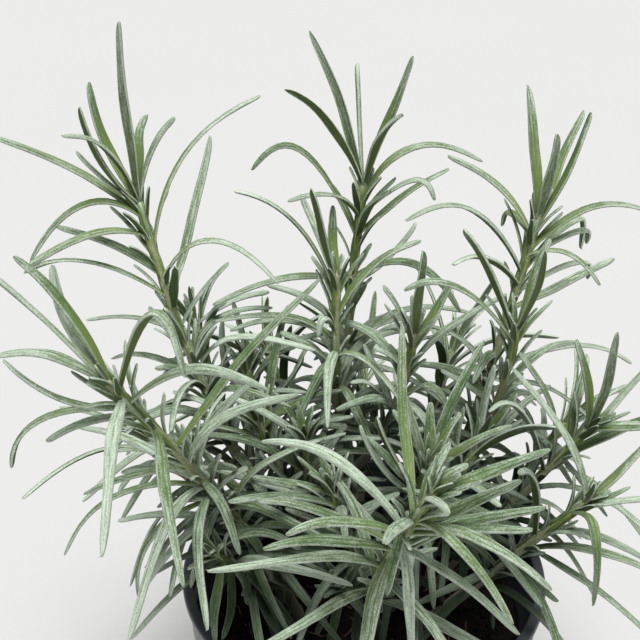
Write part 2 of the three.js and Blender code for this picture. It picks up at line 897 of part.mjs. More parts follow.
// The soil fills the pot, with an uneven top and a plain hole for each stem.
function soilSolid() {
  const slope = (WALL_RADIUS_TOP - BASE_RADIUS) / INNER_SHOULDER;
  const inside = (z) => BASE_RADIUS - WALL + slope * (z - BASE_THICKNESS) - WALL_CLEARANCE;
  const ring = (radius, height) =>
    Array.from({ length: SOIL_SIDES }, (_, i) => {
      const angle = (i / SOIL_SIDES) * 2 * Math.PI;
      const x = radius * Math.cos(angle);
      const y = radius * Math.sin(angle);
      return new THREE.Vector3(x, y, height(x, y));
    });
  const floor = BASE_THICKNESS + CLEARANCE;
  const rings = [
    ring(inside(floor), () => floor),
    ring(inside(INNER_SHOULDER), () => INNER_SHOULDER),
    ...SOIL_RINGS.map((radius) => ring(radius, soilHeight)),
  ];
  const middle = new THREE.Vector3(0, 0, soilHeight(0, 0));
  const heap = toSolid(skin(new THREE.Vector3(0, 0, floor), rings, middle));
  const holes = STEMS.map(({ foot: [x, y] }) => {
    const radius = (STEM_RADIUS + CLEARANCE) / Math.cos(Math.PI / HOLE_SIDES);
    const length = PEG_DEPTH + CLEARANCE + HOLE_RISE;
    const hole = new THREE.CylinderGeometry(radius, radius, length, HOLE_SIDES);
    hole.rotateX(90 * DEGREE);
    hole.translate(x, y, SOIL_LEVEL + HOLE_RISE - length / 2);
    return toSolid(hole);
  });
  return heap.subtract(wasm.Manifold.union(holes));
}

// ---- Model ----
function addPart(group, name, solid, finish) {
  const mesh = new THREE.Mesh(toGeometry(solid), new THREE.MeshStandardMaterial(finish));
  mesh.name = name;
  group.add(mesh);
}

const curryPlant = new THREE.Group();
addPart(curryPlant, "pot", potSolid(), { color: 0x33373b, roughness: 0.45, metalness: 0 });
addPart(curryPlant, "soil", soilSolid(), { color: 0x1d1713, roughness: 1, metalness: 0 });
for (const stem of growPlant()) {
  addPart(curryPlant, stem.name, stemSolid(stem), { color: 0x8fa68c, roughness: 0.9, metalness: 0 });
}

export default curryPlant;
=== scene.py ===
"""A potted curry plant: its looks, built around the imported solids.

Sizes here are in millimetres, as in the part's own source, and become metres where a mesh is made.
The stems and blades are laid out by the same lists and rules as the solids, so each fine stem stands
where its plain one does.
"""
import math

import bpy
import numpy as np
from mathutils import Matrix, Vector, noise


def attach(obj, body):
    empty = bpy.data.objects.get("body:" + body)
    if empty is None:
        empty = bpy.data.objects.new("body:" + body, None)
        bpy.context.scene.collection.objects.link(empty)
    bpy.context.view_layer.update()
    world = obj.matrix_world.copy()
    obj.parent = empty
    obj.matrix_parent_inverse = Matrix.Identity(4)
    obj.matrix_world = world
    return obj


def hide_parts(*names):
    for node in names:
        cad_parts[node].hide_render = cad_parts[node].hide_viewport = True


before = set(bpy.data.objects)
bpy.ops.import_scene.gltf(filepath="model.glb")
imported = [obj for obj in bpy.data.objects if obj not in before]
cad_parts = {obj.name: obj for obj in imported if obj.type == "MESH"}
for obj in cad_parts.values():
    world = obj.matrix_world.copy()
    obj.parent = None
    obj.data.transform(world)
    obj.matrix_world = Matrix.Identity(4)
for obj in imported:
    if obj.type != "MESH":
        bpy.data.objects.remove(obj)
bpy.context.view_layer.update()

MM = 0.001

# ---- Pot and soil, as in the part's source ----
POT_HEIGHT = 80
RIM_RADIUS = 45
LIP_WIDTH = 2.6
LIP_DEPTH = 2.2
COLLAR_HEIGHT = 13
COLLAR_RADIUS = RIM_RADIUS - 1.3
COLLAR_STEP = 1
INNER_SHOULDER = POT_HEIGHT - COLLAR_HEIGHT - 2 * COLLAR_STEP
WALL = 1.3
WALL_RADIUS_TOP = 41.8
BASE_RADIUS = 31
BASE_THICKNESS = 1.8
DRAIN_COUNT = 8
DRAIN_RADIUS = 2.6
DRAIN_CIRCLE = 23
CLEARANCE = 0.3
WALL_CLEARANCE = 0.45
SOIL_LEVEL = 70
SOIL_SWELL = 0.9
SOIL_RIPPLE = 0.5
SWELL_WAVES = (5, 6)
RIPPLE_WAVES = (2.6, 3.1)
PEG_DEPTH = 18

# ---- Stems and blades, as in the part's source ----
STEM_RADIUS = 1.5
TIP_RADIUS = 0.8
SHOOT_RADIUS = 1.1
BLADE_WIDTH = 2.3
ROOT_DEPTH = 0.7
LAYOUT_SEED = 100
GOLDEN_ANGLE = 137.5
YOUNG_LENGTH = 17
GROWN_LENGTH = 36
GROWN_AGE = 0.2
SHORTENING = 12
SHORTENING_AGE = 0.3
YOUNG_OPENING = 14
OLD_OPENING = 80
OLD_AGE = 0.5
OPENING_POWER = 0.8
BEND_OPENING = 0.42
DROOP = 14
DROOP_AGE = 0.3
SIDE_SHOOT_SCALE = 0.85
CROWDING = 1.2
TURN_SCATTER = 30
LENGTH_SCATTER = 0.3
LEAN_SCATTER = 16
SAMPLE_STEP = 1.5
NEIGHBOUR_GAP = 3.1
OWN_GAP = 2.2
OWN_FREE_SHARE = 0.3
TURNS = [0, 14, -14, 28, -28, 42, -42]
SOIL_GAP = 2.5
RIM_GAP_SIDE = 2.5
RIM_GAP_ABOVE = 1.8
FLOOR_GAP = 4

# A stem is a list of shoots. Its first shoot runs from its foot in the soil, and the others from the share
# `start` of the first, through a bend to the growing tip. `count` blades grow on a shoot by rule, from the
# share `low` to the share `high` of it.
# Each row of its own list is a blade: the share of the way up where it grows, its compass direction
# (0 is +X, 90 is +Y), its reach, its rise, the share of the reach at its bend, the height there, and,
# where it rolls about its length, the roll in degrees.
STEMS = {
    "stem_left_tall": [
        dict(foot=[-14, 8], bend=[-38, 2, 118], tip=[-50, 10, 173], low=0.2, high=0.62, count=9, blades=[
            [1, -105, 2, 39, 0.5, 20], [1, 140, 13, 24, 0.8, 11], [1, -135, 17, 19, 0.3, 18],
            [1, 85, 14, 15, 0, 15], [1, -15, 9, 19, 0.25, 14], [0.9, 15, 25, 33, 0.1, 25],
            [0.8, 70, 24, 30, 0.7, 14], [0.84, -15, 27, 2, 0.4, 21], [0.97, 175, 32, 18, 0.35, 12],
            [0.97, 180, 25, -8, 0.5, 13], [0.93, -150, 28, -1, 0.4, 8], [0.85, 160, 26, 8, 0.35, 7],
            [0.8, -175, 31, 7, 0.6, 16],
        ]),
        dict(start=0.45, bend=[-37, 15, 126], tip=[-41, 20, 138], low=0.2, high=0.9, count=5, blades=[
            [0.97, 0, 18, 9, 0.4, 8],
        ]),
        dict(start=0.3, bend=[-29, 12, 112], tip=[-28, 16, 127], low=0.1, high=0.9, count=5, blades=[
            [0.98, 180, 3, 19, -0.2, 7], [0.87, 145, 7, 16, 1.15, -3], [0.87, -10, 12, 12, 0.4, 10],
            [0.75, -25, 15, 16, 0.6, 2],
        ]),
    ],
    "stem_middle_tall": [
        dict(foot=[-3, 10], bend=[-7, 18, 120], tip=[-1, 20, 173], low=0.15, high=0.6, count=11, blades=[
            [1, 170, 12, 34, 0.35, 17, 84], [1, -165, 18, 23, 0.35, 18, 60], [1, 105, 6, 26, 0.65, 16, 88],
            [1, 0, 10, 29, 0.45, 17, 84], [1, 45, 8, 22, 0.4, 13], [1, -35, 11, 19, 0.3, 15],
            [0.97, 10, 28, 7, 0.3, 20], [0.89, 40, 29, 9, 0.5, 7], [0.93, -25, 18, 7, 0.85, 18],
            [0.87, -65, 15, 18, 0.1, 10], [0.88, -170, 24, 18, 0.55, 35], [0.93, -130, 24, 11, 0.3, 11],
            [0.79, -20, 26, -5, 0.65, 14],
        ]),
        dict(start=0.35, bend=[-8, 6, 126], tip=[-7, 8, 156], low=0.1, high=0.85, count=6, blades=[
            [0.97, -150, 8, 25, 0.5, 14], [1, 90, 5, 15, 0.8, 7], [0.97, 120, 16, 16, 0.4, 10],
            [0.93, -170, 22, 26, 0.35, 24], [0.74, 170, 25, -1, 0.45, 7], [0.77, -125, 7, 1, 0.85, 10],
            [0.55, -170, 13, 12, 0.45, 10, -40], [0.37, 0, 8, 19, 0.2, 14], [0.29, -140, 13, 3, 0.45, 7],
        ]),
        dict(start=0.25, bend=[8, 2, 118], tip=[10, 0, 146], low=0.1, high=0.85, count=7, blades=[
            [0.95, -80, 3, 24, 0.9, 13], [0.96, 25, 9, 13, 0.6, 7], [0.95, -145, 7, 15, 0.4, 10],
            [0.8, -165, 8, 8, 0.35, 6], [0.67, -20, 12, -2, 0.75, 9], [0.56, -150, 12, 12, 0.55, 14],
            [0.57, 165, 8, 16, 0.2, 7], [0.47, 10, 14, 3, 0.6, -2], [0.39, -170, 14, 5, 0.55, 5],
        ]),
    ],
    "stem_right_tall": [
        dict(foot=[14, 8], bend=[28, 12, 115], tip=[38, 15, 168], low=0.15, high=0.56, count=8, blades=[
            [0.99, 105, 12, 27, 0.1, 16], [0.97, 10, 10, 26, 0.6, 12], [0.98, 55, 20, 21, 0.5, 11],
            [0.99, -75, 4, 21, 0.9, 12], [0.95, 155, 20, 18, 0.25, 13], [0.87, -160, 30, 17, 0.45, 26],
            [0.84, -140, 23, 12, 0.5, 14], [0.92, 5, 28, 8, 0.45, 16], [0.87, 35, 20, 0, 1.1, 19],
            [0.91, -20, 17, -5, 0.6, 6], [0.82, 35, 25, -4, 1.1, 7], [0.78, -10, 23, 12, 0.6, 7],
            [0.62, 10, 36, -2, 0.65, 10],
        ]),
        dict(start=0.3, bend=[31, 0, 122], tip=[32, -2, 148], low=0.1, high=0.7, count=5, blades=[
            [1, 35, 7, 20, 0.55, 15], [1, -65, 7, 22, 0.95, 15], [0.97, -165, 14, 27, 0.5, 19],
            [0.94, -160, 27, 17, 0.6, 24], [0.33, -165, 14, 3, 0.55, 7], [0.4, -10, 14, -1, 0.55, 5],
            [0.56, 180, 13, 10, 0.45, 7],
        ]),
    ],
    "stem_left_front": [
        dict(foot=[-16, -10], bend=[-30, -22, 118], tip=[-48, -45, 161], low=0.2, high=0.7, count=6, blades=[
            [1, -150, 17, 26, 0.45, 14], [1, 145, 11, 20, 1, 11], [0.99, 170, 15, 24, 0.25, 17],
            [0.97, -35, 17, 9, 0.7, 34], [1, 170, 20, 4, 0.5, 8], [0.92, -150, 21, 16, 0.6, 2],
            [0.91, -165, 23, -9, 0.95, 6], [0.89, 180, 18, -6, 0.55, 0], [0.95, -90, 30, -11, 0.15, 2, -15],
            [0.83, -75, 31, -12, 0.5, 8], [0.93, -25, 29, 11, 0.45, 16, 30],
            [0.75, 25, 31, 31, 0.4, 16, 45], [0.55, -160, 18, -24, 1.15, -2], [0.67, 170, 24, -10, 0.45, 0],
            [0.62, -50, 13, -11, 0.5, 2], [0.45, -45, 12, -10, 0.5, 2],
        ]),
        dict(start=0.35, bend=[-34, -16, 112], tip=[-38, -15, 121], low=0.2, high=0.9, count=6, blades=[
            [0.99, -20, 26, -2, 0.4, 3], [0.75, 175, 35, -23, 0.7, 3], [0.32, 180, 25, -1, 0.6, 2],
        ]),
    ],
    "stem_right_upper": [
        dict(foot=[20, 2], bend=[36, 0, 100], tip=[50, -5, 124], low=0.1, high=0.8, count=9, blades=[
            [1, -80, 7, 29, 0.8, 16], [0.97, 20, 17, 18, 0.45, 6], [1, 135, 6, 21, 0, 14],
            [1, -30, 16, 6, 0.5, 4], [0.87, 70, 15, 17, 0, 15], [0.72, -150, 19, 23, 0.5, 29],
            [1, 5, 22, -4, 0.55, 4], [0.42, -25, 14, 4, 0.45, 13], [0.5, 180, 11, 13, 0.35, 10],
            [0.61, 60, 2, 21, 1.4, 9],
        ]),
    ],
    "stem_right_lower": [
        dict(foot=[16, -12], bend=[28, -22, 98], tip=[44, -30, 123], low=0.1, high=0.65, count=10, blades=[
            [1, 155, 18, 28, 0, 12], [0.95, 10, 16, 18, 0.45, 8], [0.96, -25, 18, 9, 0.5, 6],
            [0.93, -80, 14, -13, 1.2, 15], [0.68, -10, 30, -22, 0.45, -6], [0.79, 15, 28, -15, 0.4, 0],
            [0.73, -140, 9, 22, 0, 22], [0.5, -170, 12, 12, 0.4, 9], [0.58, -30, 12, -7, 0.5, -4],
        ]),
    ],
    "stem_front": [
        dict(foot=[3, -14], bend=[-4, -54, 122], tip=[8, -64, 152], low=0.15, high=0.66, count=8, blades=[
            [0.81, 165, 26, 14, 0.4, 17, -35], [0.79, -165, 21, 4, 0.55, 9, -25],
            [0.95, 10, 21, 8, 0.35, 6, 20], [0.86, -35, 20, -13, 0.45, 5], [0.87, 95, 22, 26, 0.55, 12],
            [0.76, -55, 5, -25, 1, -6], [0.68, -135, 9, -30, 0.6, -9], [0.57, -120, 8, -24, 0.6, -5],
            [0.73, 0, 24, -22, 0.4, -4], [0.84, -15, 25, -9, 0.55, 4], [0.93, -38, 13, 9, 0.35, 8],
            [0.86, -115, 13, 5, 0.5, 6], [0.86, 10, 19, 6, 0.45, 1, 15], [0.8, -3, 22, 2, 0.4, 2, 15],
            [0.73, 165, 26, 4, 0.55, 8, -20], [0.71, 175, 24, -2, 0.5, 3, -20], [0.91, 55, 9, 9, 0.1, 7],
            [0.97, 0, 6, 7, 0.25, 6],
        ]),
        dict(start=0.12, bend=[-4, -28, 94], tip=[-6, -33, 103], low=0.3, high=0.8, count=3, blades=[
            [1, 165, 17, 4, 0.5, 3], [1, -115, 8, -12, 0.5, -3], [1, -20, 8, -4, 0.5, 0],
            [1, 60, 3, 7, 0.5, 4], [0.63, -175, 17, 13, 0.4, 11], [0.85, -145, 8, -8, 0.55, 0],
            [0.91, -55, 8, 2, 0.45, 2],
        ]),
        dict(start=0.25, bend=[-5, -27, 112], tip=[-8, -27, 123], low=0.2, high=0.9, count=5, blades=[
            [1, 175, 17, 3, 0.5, 3], [1, -40, 11, -3, 0.5, 2], [0.85, -170, 24, 9, 0.5, 10],
            [0.38, -170, 21, 4, 0.4, 4], [0.69, 10, 12, 6, 0.45, 5], [0.58, 180, 13, 7, 0.35, 3],
            [0.8, 25, 5, 13, 0.2, 8],
        ]),
    ],
    "stem_middle_front": [
        dict(foot=[7, -5], bend=[9, -14, 108], tip=[12, -23, 127], low=0.15, high=0.95, count=12, blades=[
            [0.95, 30, 8, 12, 0.5, 9], [0.95, 80, 5, 14, 0.5, 9], [0.9, 130, 10, 12, 0.4, 9],
            [0.81, -170, 10, 19, 0.7, 8], [0.73, -170, 13, 20, 0.75, 8], [0.95, 45, 3, 14, -0.2, 8],
            [0.57, 180, 16, 15, 0.35, 4], [0.77, 165, 15, 7, 0.35, 3],
        ]),
        dict(start=0.3, bend=[20, -8, 108], tip=[25, -6, 120], low=0.15, high=1.0, count=10, blades=[
            [0.55, 45, 3, 22, -0.1, 12], [0.87, 25, 4, 24, 0.4, 10], [0.75, 180, 11, 12, 0.3, 16],
            [0.62, -15, 17, -1, 0.6, 3], [0.46, -25, 14, -3, 0.45, 3],
        ]),
    ],
    "stem_left_low": [
        dict(foot=[-20, -20], bend=[-25, -24, 100], tip=[-33, -35, 114], low=0.3, high=0.75, count=4, blades=[
            [0.98, -25, 18, 0, 0.4, 11], [0.88, -110, 6, -19, 1, -6], [0.78, -30, 4, -10, 1.2, -1],
            [0.79, -115, 5, -18, 0, -12], [0.74, 0, 15, -23, 0.45, -4], [0.5, -10, 11, -13, 0.2, -3],
            [0.4, 15, 17, -15, 0.4, 9], [0.67, 10, 13, -10, 0.6, -1],
        ]),
    ],
    "stem_middle_low": [
        dict(foot=[-9, 0], bend=[-18, -2, 105], tip=[-25, -2, 124], low=0.15, high=0.85, count=10, blades=[
            [0.95, 10, 19, 8, 0.3, 8, 25], [0.8, 0, 19, 10, 0.25, 8, 25], [0.95, 175, 20, 9, 0.4, 7],
            [0.85, 180, 16, 5, 0.5, 6],
        ]),
        dict(start=0.35, bend=[-13, -8, 112], tip=[-14, -10, 125], low=0.15, high=0.95, count=9, blades=[
            [0.4, -160, 11, 14, 0.6, 5], [0.63, 15, 9, 11, 0.6, 7], [0.86, 20, 6, 12, 0.15, 5],
            [0.28, -25, 15, -1, 0.4, 5], [0.22, -5, 19, 9, 0.45, 11],
        ]),
        dict(start=0.2, bend=[-20, -12, 98], tip=[-24, -15, 108], low=0.15, high=0.95, count=8, blades=[
            [0.5, -150, 13, 6, 0.45, 8], [0.92, 180, 14, 4, 0.45, 3], [0.76, -25, 14, 1, 0.55, 4],
            [0.85, 0, 8, 14, 0.25, 9],
        ]),
    ],
    "stem_back_left": [
        dict(foot=[-9, 21], bend=[-16, 32, 98], tip=[-25, 46, 114], low=0.15, high=1.0, count=18, blades=[]),
    ],
    "stem_back_right": [
        dict(foot=[10, 21], bend=[18, 32, 100], tip=[26, 47, 117], low=0.15, high=1.0, count=18, blades=[]),
    ],
    "stem_back_middle": [
        dict(foot=[0, 29], bend=[1, 42, 94], tip=[2, 58, 104], low=0.15, high=1.0, count=16, blades=[]),
    ],
    "stem_side_right": [
        dict(foot=[28, 10], bend=[40, 18, 92], tip=[54, 26, 106], low=0.3, high=1.0, count=9, blades=[]),
    ],
    "stem_side_left": [
        dict(foot=[-27, 6], bend=[-40, 14, 92], tip=[-56, 20, 106], low=0.45, high=1.0, count=10, blades=[]),
    ],
}

# ---- Layout of the plant ----
X_AXIS = np.array((1.0, 0.0, 0.0))
FULL_TURN = 2 * math.pi
FOOT_LEVEL = SOIL_LEVEL + SOIL_GAP
WORD = 0xFFFFFFFF
TANGENT_STEP = 0.0001
LENGTH_STEPS = 200


def unit(vectors):
    """Vectors brought to a length of 1."""
    return vectors / np.linalg.norm(vectors, axis=-1, keepdims=True)


def circle(sides):
    """The angles of a ring's points."""
    return np.linspace(0, FULL_TURN, sides, endpoint=False)


def seeded_random(seed):
    """A source of numbers from 0 to 1, the same as the part's source has (mulberry32)."""
    state = seed

    def draw():
        nonlocal state
        state = (state + 0x6D2B79F5) & WORD
        mixed = ((state ^ (state >> 15)) * (state | 1)) & WORD
        mixed ^= (mixed + (mixed ^ (mixed >> 7)) * (mixed | 61)) & WORD
        return (mixed ^ (mixed >> 14)) / 2**32

    return draw


def between(limits, random):
    """A drawn number between two limits."""
    return limits[0] + (limits[1] - limits[0]) * random()


class Bow:
    """A quadratic Bezier line."""

    def __init__(self, start, bend, tip, start_radius=0.0):
        self.start, self.bend, self.tip = (np.array(p, float) for p in (start, bend, tip))
        self.start_radius = start_radius

    def point(self, share):
        share = np.asarray(share, float)[..., None]
        rest = 1 - share
        return rest * rest * self.start + 2 * rest * share * self.bend + share * share * self.tip

    def tangent(self, share):
        low = max(0.0, share - TANGENT_STEP)
        high = min(1.0, share + TANGENT_STEP)
        return unit(self.point(high) - self.point(low))

    def radius(self, share):
        return self.start_radius + (TIP_RADIUS - self.start_radius) * share

    def length(self):
        steps = np.diff(self.point(np.arange(LENGTH_STEPS + 1) / LENGTH_STEPS), axis=0)
        return float(np.linalg.norm(steps, axis=1).sum())

    def samples(self):
        count = math.ceil(self.length() / SAMPLE_STEP)
        return self.point(np.arange(count + 1) / count)


def soil_height(x, y):
    swell = math.sin(x / SWELL_WAVES[0] + 1) * math.cos(y / SWELL_WAVES[1])
    ripple = math.sin(x / RIPPLE_WAVES[0] - y / RIPPLE_WAVES[1])
    return SOIL_LEVEL + SOIL_SWELL * swell + SOIL_RIPPLE * ripple


def square_to(tangent):
    """Two directions square to a tangent, the first as near to +X as it can be."""
    first = unit(X_AXIS - tangent * tangent.dot(X_AXIS))
    return first, np.cross(tangent, first)


def outward(tangent, degrees):
    """The direction square to a shoot that lies at an angle around it."""
    around = math.radians(degrees)
    first, second = square_to(tangent)
    return first * math.cos(around) + second * math.sin(around)


def shoot_curves(shoots):
    """The centre lines of a stem's shoots, the first from the soil and the rest from the first."""
    curves = []
    for shoot in shoots:
        if "start" in shoot:
            curves.append(Bow(curves[0].point(shoot["start"]), shoot["bend"], shoot["tip"], SHOOT_RADIUS))
        else:
            curves.append(Bow((*shoot["foot"], FOOT_LEVEL), shoot["bend"], shoot["tip"], STEM_RADIUS))
    return curves


def listed_blade(curve, turn, share, compass, reach, rise, bend_share, bend_height, roll=0):
    """A blade by a row of a list."""
    angle = math.radians(compass + turn)
    roll = math.radians(roll)
    out = np.array((math.cos(angle), math.sin(angle), 0.0))
    root = curve.point(share)
    bend = root + out * reach * bend_share + (0, 0, bend_height)
    tip = root + out * reach + (0, 0, rise)
    across = np.array((-out[1] * math.cos(roll), out[0] * math.cos(roll), math.sin(roll)))
    return {"line": Bow(root, bend, tip), "across": across, "age": 1 - share, "curve": curve}


def opened_blade(curve, share, degrees, reaches, root_share=0, sink=0):
    """A blade on the side of its shoot that an angle around it gives.

    `reaches` holds the opening from the shoot, in radians, and the distance of its bend and of its tip.
    """
    tangent = curve.tangent(share)
    side = outward(tangent, degrees)
    root = curve.point(share) + side * curve.radius(share) * root_share
    bend, tip = (root + size * (tangent * math.cos(a) + side * math.sin(a)) for a, size in reaches)
    line = Bow(root, bend, tip - (0, 0, sink))
    return {"line": line, "across": np.cross(tangent, side), "age": 1 - share, "curve": curve}


def ruled_blade(curve, turn, share, angle, stretch, lean, droop=0):
    """A blade by rule: upright and short at the growing tip, then arching, then spreading and lower."""
    age = 1 - share
    growth = min(1, age / GROWN_AGE)
    shortening = SHORTENING * max(0, age - SHORTENING_AGE)
    length = stretch * (YOUNG_LENGTH + (GROWN_LENGTH - YOUNG_LENGTH) * growth - shortening)
    spread = min(1, age / OLD_AGE) ** OPENING_POWER
    opening = math.radians(lean + YOUNG_OPENING + (OLD_OPENING - YOUNG_OPENING) * spread)
    reaches = ((opening * BEND_OPENING, length / 2), (opening, length))
    return opened_blade(curve, share, angle + turn, reaches, sink=droop * min(1, age / DROOP_AGE))


def small_blade(curve, turn, share, angle, length, opening):
    """A small leaf that stands close along its shoot."""
    opening = math.radians(opening)
    reaches = ((opening / 2, SMALL_BEND * length), (opening, length))
    return opened_blade(curve, share, angle + turn, reaches, SMALL_ROOT)


def clear_of_pot(points):
    """Whether a line keeps above the soil, over the rim and off the floor."""
    radius = np.hypot(points[:, 0], points[:, 1])
    outside = radius > RIM_RADIUS + RIM_GAP_SIDE
    over_wall = radius > WALL_RADIUS_TOP - WALL - RIM_GAP_SIDE
    inside_level = np.where(over_wall, POT_HEIGHT + RIM_GAP_ABOVE, SOIL_LEVEL + SOIL_GAP)
    lowest = np.where(outside, FLOOR_GAP, inside_level)
    return bool((points[:, 2] > lowest).all())


class Bed:
    """The points of the centre lines that are already there, each with its stem's number."""

    def __init__(self):
        self.points = np.zeros((0, 3))
        self.owners = np.zeros(0, int)

    def take(self, points, owner):
        self.points = np.vstack((self.points, points))
        self.owners = np.append(self.owners, np.full(len(points), owner))

    def fits(self, points, owner, neighbour_gap, own_gap):
        if not clear_of_pot(points):
            return False
        low = points.min(axis=0) - neighbour_gap
        high = points.max(axis=0) + neighbour_gap
        near = ((self.points > low) & (self.points < high)).all(axis=1)
        apart = np.linalg.norm(points[:, None, :] - self.points[None, near, :], axis=2)
        free = np.arange(len(points)) / len(points) < OWN_FREE_SHARE
        own = np.where(free, 0.0, own_gap)[:, None]
        needed = np.where(self.owners[None, near] == owner, own, neighbour_gap)
        return bool((apart >= needed).all())

    def place(self, owner, make_blade, curve, habit, gaps=(NEIGHBOUR_GAP, OWN_GAP)):
        """The blade at the first turn that is clear, in a list, or an empty list where none is."""
        for turn in TURNS:
            blade = make_blade(curve, turn, *habit)
            points = blade["line"].samples()
            if self.fits(points, owner, *gaps):
                self.take(points, owner)
                return [blade]
        return []


def ruled_habit(random, shoot, k, count):
    """Where and how the k-th of a shoot's blades by rule grows: share, angle, stretch, lean and droop."""
    reach_down = shoot["high"] - shoot["low"]
    share = shoot["high"] - reach_down * ((k + random()) / count) ** CROWDING
    angle = GOLDEN_ANGLE * k + TURN_SCATTER * random()
    scale = SIDE_SHOOT_SCALE if "start" in shoot else 1
    stretch = scale * (1 + LENGTH_SCATTER * (random() - 0.5))
    lean = LEAN_SCATTER * (random() - 0.5)
    return share, angle, stretch, lean, DROOP * random()


# ---- Fine blades that only the looks have ----
# Gaps are those to the blades of other stems and to the stem's own.
# Fill blades stand between the blades that the solids have, FILL_RATIO of them for each of those.
FILL_SEED = 900
FILL_RATIO = 0.4
FILL_LOW = 0.25
FILL_HIGH = 0.65
FILL_SCALES = (0.63, 0.9)
FILL_GAPS = (2.0, 1.6)
UNFILLED_STEMS = (
    "stem_front", "stem_left_low", "stem_right_upper", "stem_right_lower", "stem_side_left",
    "stem_side_right",
)
# More fill blades, in rows as in STEMS, on the first shoot of each named stem.
FILL_ROWS = {
    "stem_left_tall": (
        [1, -160, 12, 13, 0.5, 4], [1, -160, 11, 23, 0.75, 8], [0.77, -75, 7, 14, 0.5, 9],
        [0.73, 5, 9, 13, 0.5, 9], [0.69, -115, 8, 13, 0.5, 9], [0.64, -40, 8, 13, 0.5, 9],
        [0.66, 170, 9, 12, 0.5, 7], [0.61, -130, 13, 8, 0.5, 7], [0.56, -60, 10, 12, 0.5, 9],
        [0.5, -170, 22, -1, 0.5, 7], [0.47, 150, 18, 4, 0.5, 8], [0.42, 10, 16, 9, 0.5, 9],
        [0.37, -120, 15, 2, 0.5, 6], [0.33, -160, 18, -2, 0.5, 5],
    ),
    "stem_left_front": (
        [0.68, -60, 5, 10, 0.5, 7], [0.6, 160, 20, -2, 0.5, 6], [0.56, -20, 8, 9, 0.5, 7],
        [0.48, -70, 6, 10, 0.5, 7], [0.52, -100, 14, -12, 0.6, 0], [0.44, 170, 22, -6, 0.5, 5],
        [0.4, -30, 16, 3, 0.5, 6], [0.34, 130, 18, -5, 0.5, 4],
    ),
    "stem_middle_tall": (
        [0.78, -175, 33, -5, 0.5, 5], [0.77, 15, 15, 14, 0.75, 6], [0.7, -70, 9, 12, 0.5, 9],
        [0.62, -10, 18, 6, 0.5, 8],
    ),
    "stem_right_tall": (
        [0.95, 125, 10, -1, 0.95, 8], [0.9, 20, 16, 1, 1.15, 10], [0.6, -120, 12, 8, 0.5, 8],
        [0.5, -20, 16, 4, 0.5, 7], [0.42, -150, 16, 1, 0.5, 6],
    ),
    "stem_front": (
        [0.8, -120, 6, -10, 0.7, 3], [0.66, -125, 6, -22, 0.6, -2], [0.5, -120, 6, -16, 0.6, -2],
    ),
}
# Buds crowd the growing tip, shortest at the top.
BUD_COUNT = 10
BUD_START = 0.86
BUD_CROWDING = 1.3
BUD_SCALE = 0.3
BUD_GROWTH = 0.15
BUD_LEANS = (-6, 2)
BUD_CLOSING = 2
BUD_GAPS = (1.5, 0.7)
# Small leaves stand close along each shoot, one to each SMALL_SPACING of its length.
SMALL_SEED = 700
SMALL_SPACING = 5
SMALL_LOW = 0.35
SMALL_HIGH = 0.88
SMALL_LENGTHS = (6, 12)
SMALL_OPENINGS = (20, 38)
SMALL_ROOT = 0.6
SMALL_BEND = 0.55
SMALL_GAPS = (1.3, 0.5)


def fill_count(grown, shoot):
    if grown["name"] in UNFILLED_STEMS:
        return 0
    return round(FILL_RATIO * (shoot["count"] + len(shoot["blades"])))


def grow_listed(bed, owner, grown):
    for curve, shoot in zip(grown["curves"], grown["shoots"]):
        for row in shoot["blades"]:
            grown["blades"] += bed.place(owner, listed_blade, curve, row)


def grow_ruled(bed, owner, grown):
    random = seeded_random(LAYOUT_SEED + owner)
    for curve, shoot in zip(grown["curves"], grown["shoots"]):
        for k in range(shoot["count"]):
            habit = ruled_habit(random, shoot, k, shoot["count"])
            grown["blades"] += bed.place(owner, ruled_blade, curve, habit)


def grow_fill_and_buds(bed, owner, grown):
    random = seeded_random(FILL_SEED + owner)
    for row in FILL_ROWS.get(grown["name"], ()):
        grown["blades"] += bed.place(owner, listed_blade, grown["curves"][0], row, FILL_GAPS)
    for curve, shoot in zip(grown["curves"], grown["shoots"]):
        count = fill_count(grown, shoot)
        for k in range(count):
            _, angle, stretch, lean, droop = ruled_habit(random, shoot, k, count)
            share = FILL_LOW + (FILL_HIGH - FILL_LOW) * (k + random()) / count
            habit = (share, angle, stretch * between(FILL_SCALES, random), lean, droop)
            grown["blades"] += bed.place(owner, ruled_blade, curve, habit, FILL_GAPS)
        for k in range(BUD_COUNT):
            low = (k / BUD_COUNT) ** BUD_CROWDING
            stretch = BUD_SCALE + BUD_GROWTH * (low + random())
            lean = between(BUD_LEANS, random) - BUD_CLOSING * low
            habit = (1 - (1 - BUD_START) * low, GOLDEN_ANGLE * k, stretch, lean)
            grown["buds"] += bed.place(owner, ruled_blade, curve, habit, BUD_GAPS)


def grow_small(bed, owner, grown):
    random = seeded_random(SMALL_SEED + owner)
    for curve in grown["curves"]:
        count = round(curve.length() / SMALL_SPACING)
        for k in range(count):
            share = SMALL_LOW + (SMALL_HIGH - SMALL_LOW) * (k + random()) / count
            length = between(SMALL_LENGTHS, random)
            habit = (share, GOLDEN_ANGLE * k, length, between(SMALL_OPENINGS, random))
            grown["small"] += bed.place(owner, small_blade, curve, habit, SMALL_GAPS)


def grow_plant():
    """Lays out every blade of every stem, keeping each clear of the pot and of what is already there."""
    bed = Bed()
    plant = []
    for owner, (name, shoots) in enumerate(STEMS.items()):
        curves = shoot_curves(shoots)
        plant.append(dict(name=name, shoots=shoots, curves=curves, blades=[], buds=[], small=[]))
        for curve in curves:
            bed.take(curve.samples(), owner)
    for grow in (grow_listed, grow_ruled, grow_fill_and_buds, grow_small):
        for owner, grown in enumerate(plant):
            grow(bed, owner, grown)
    return plant


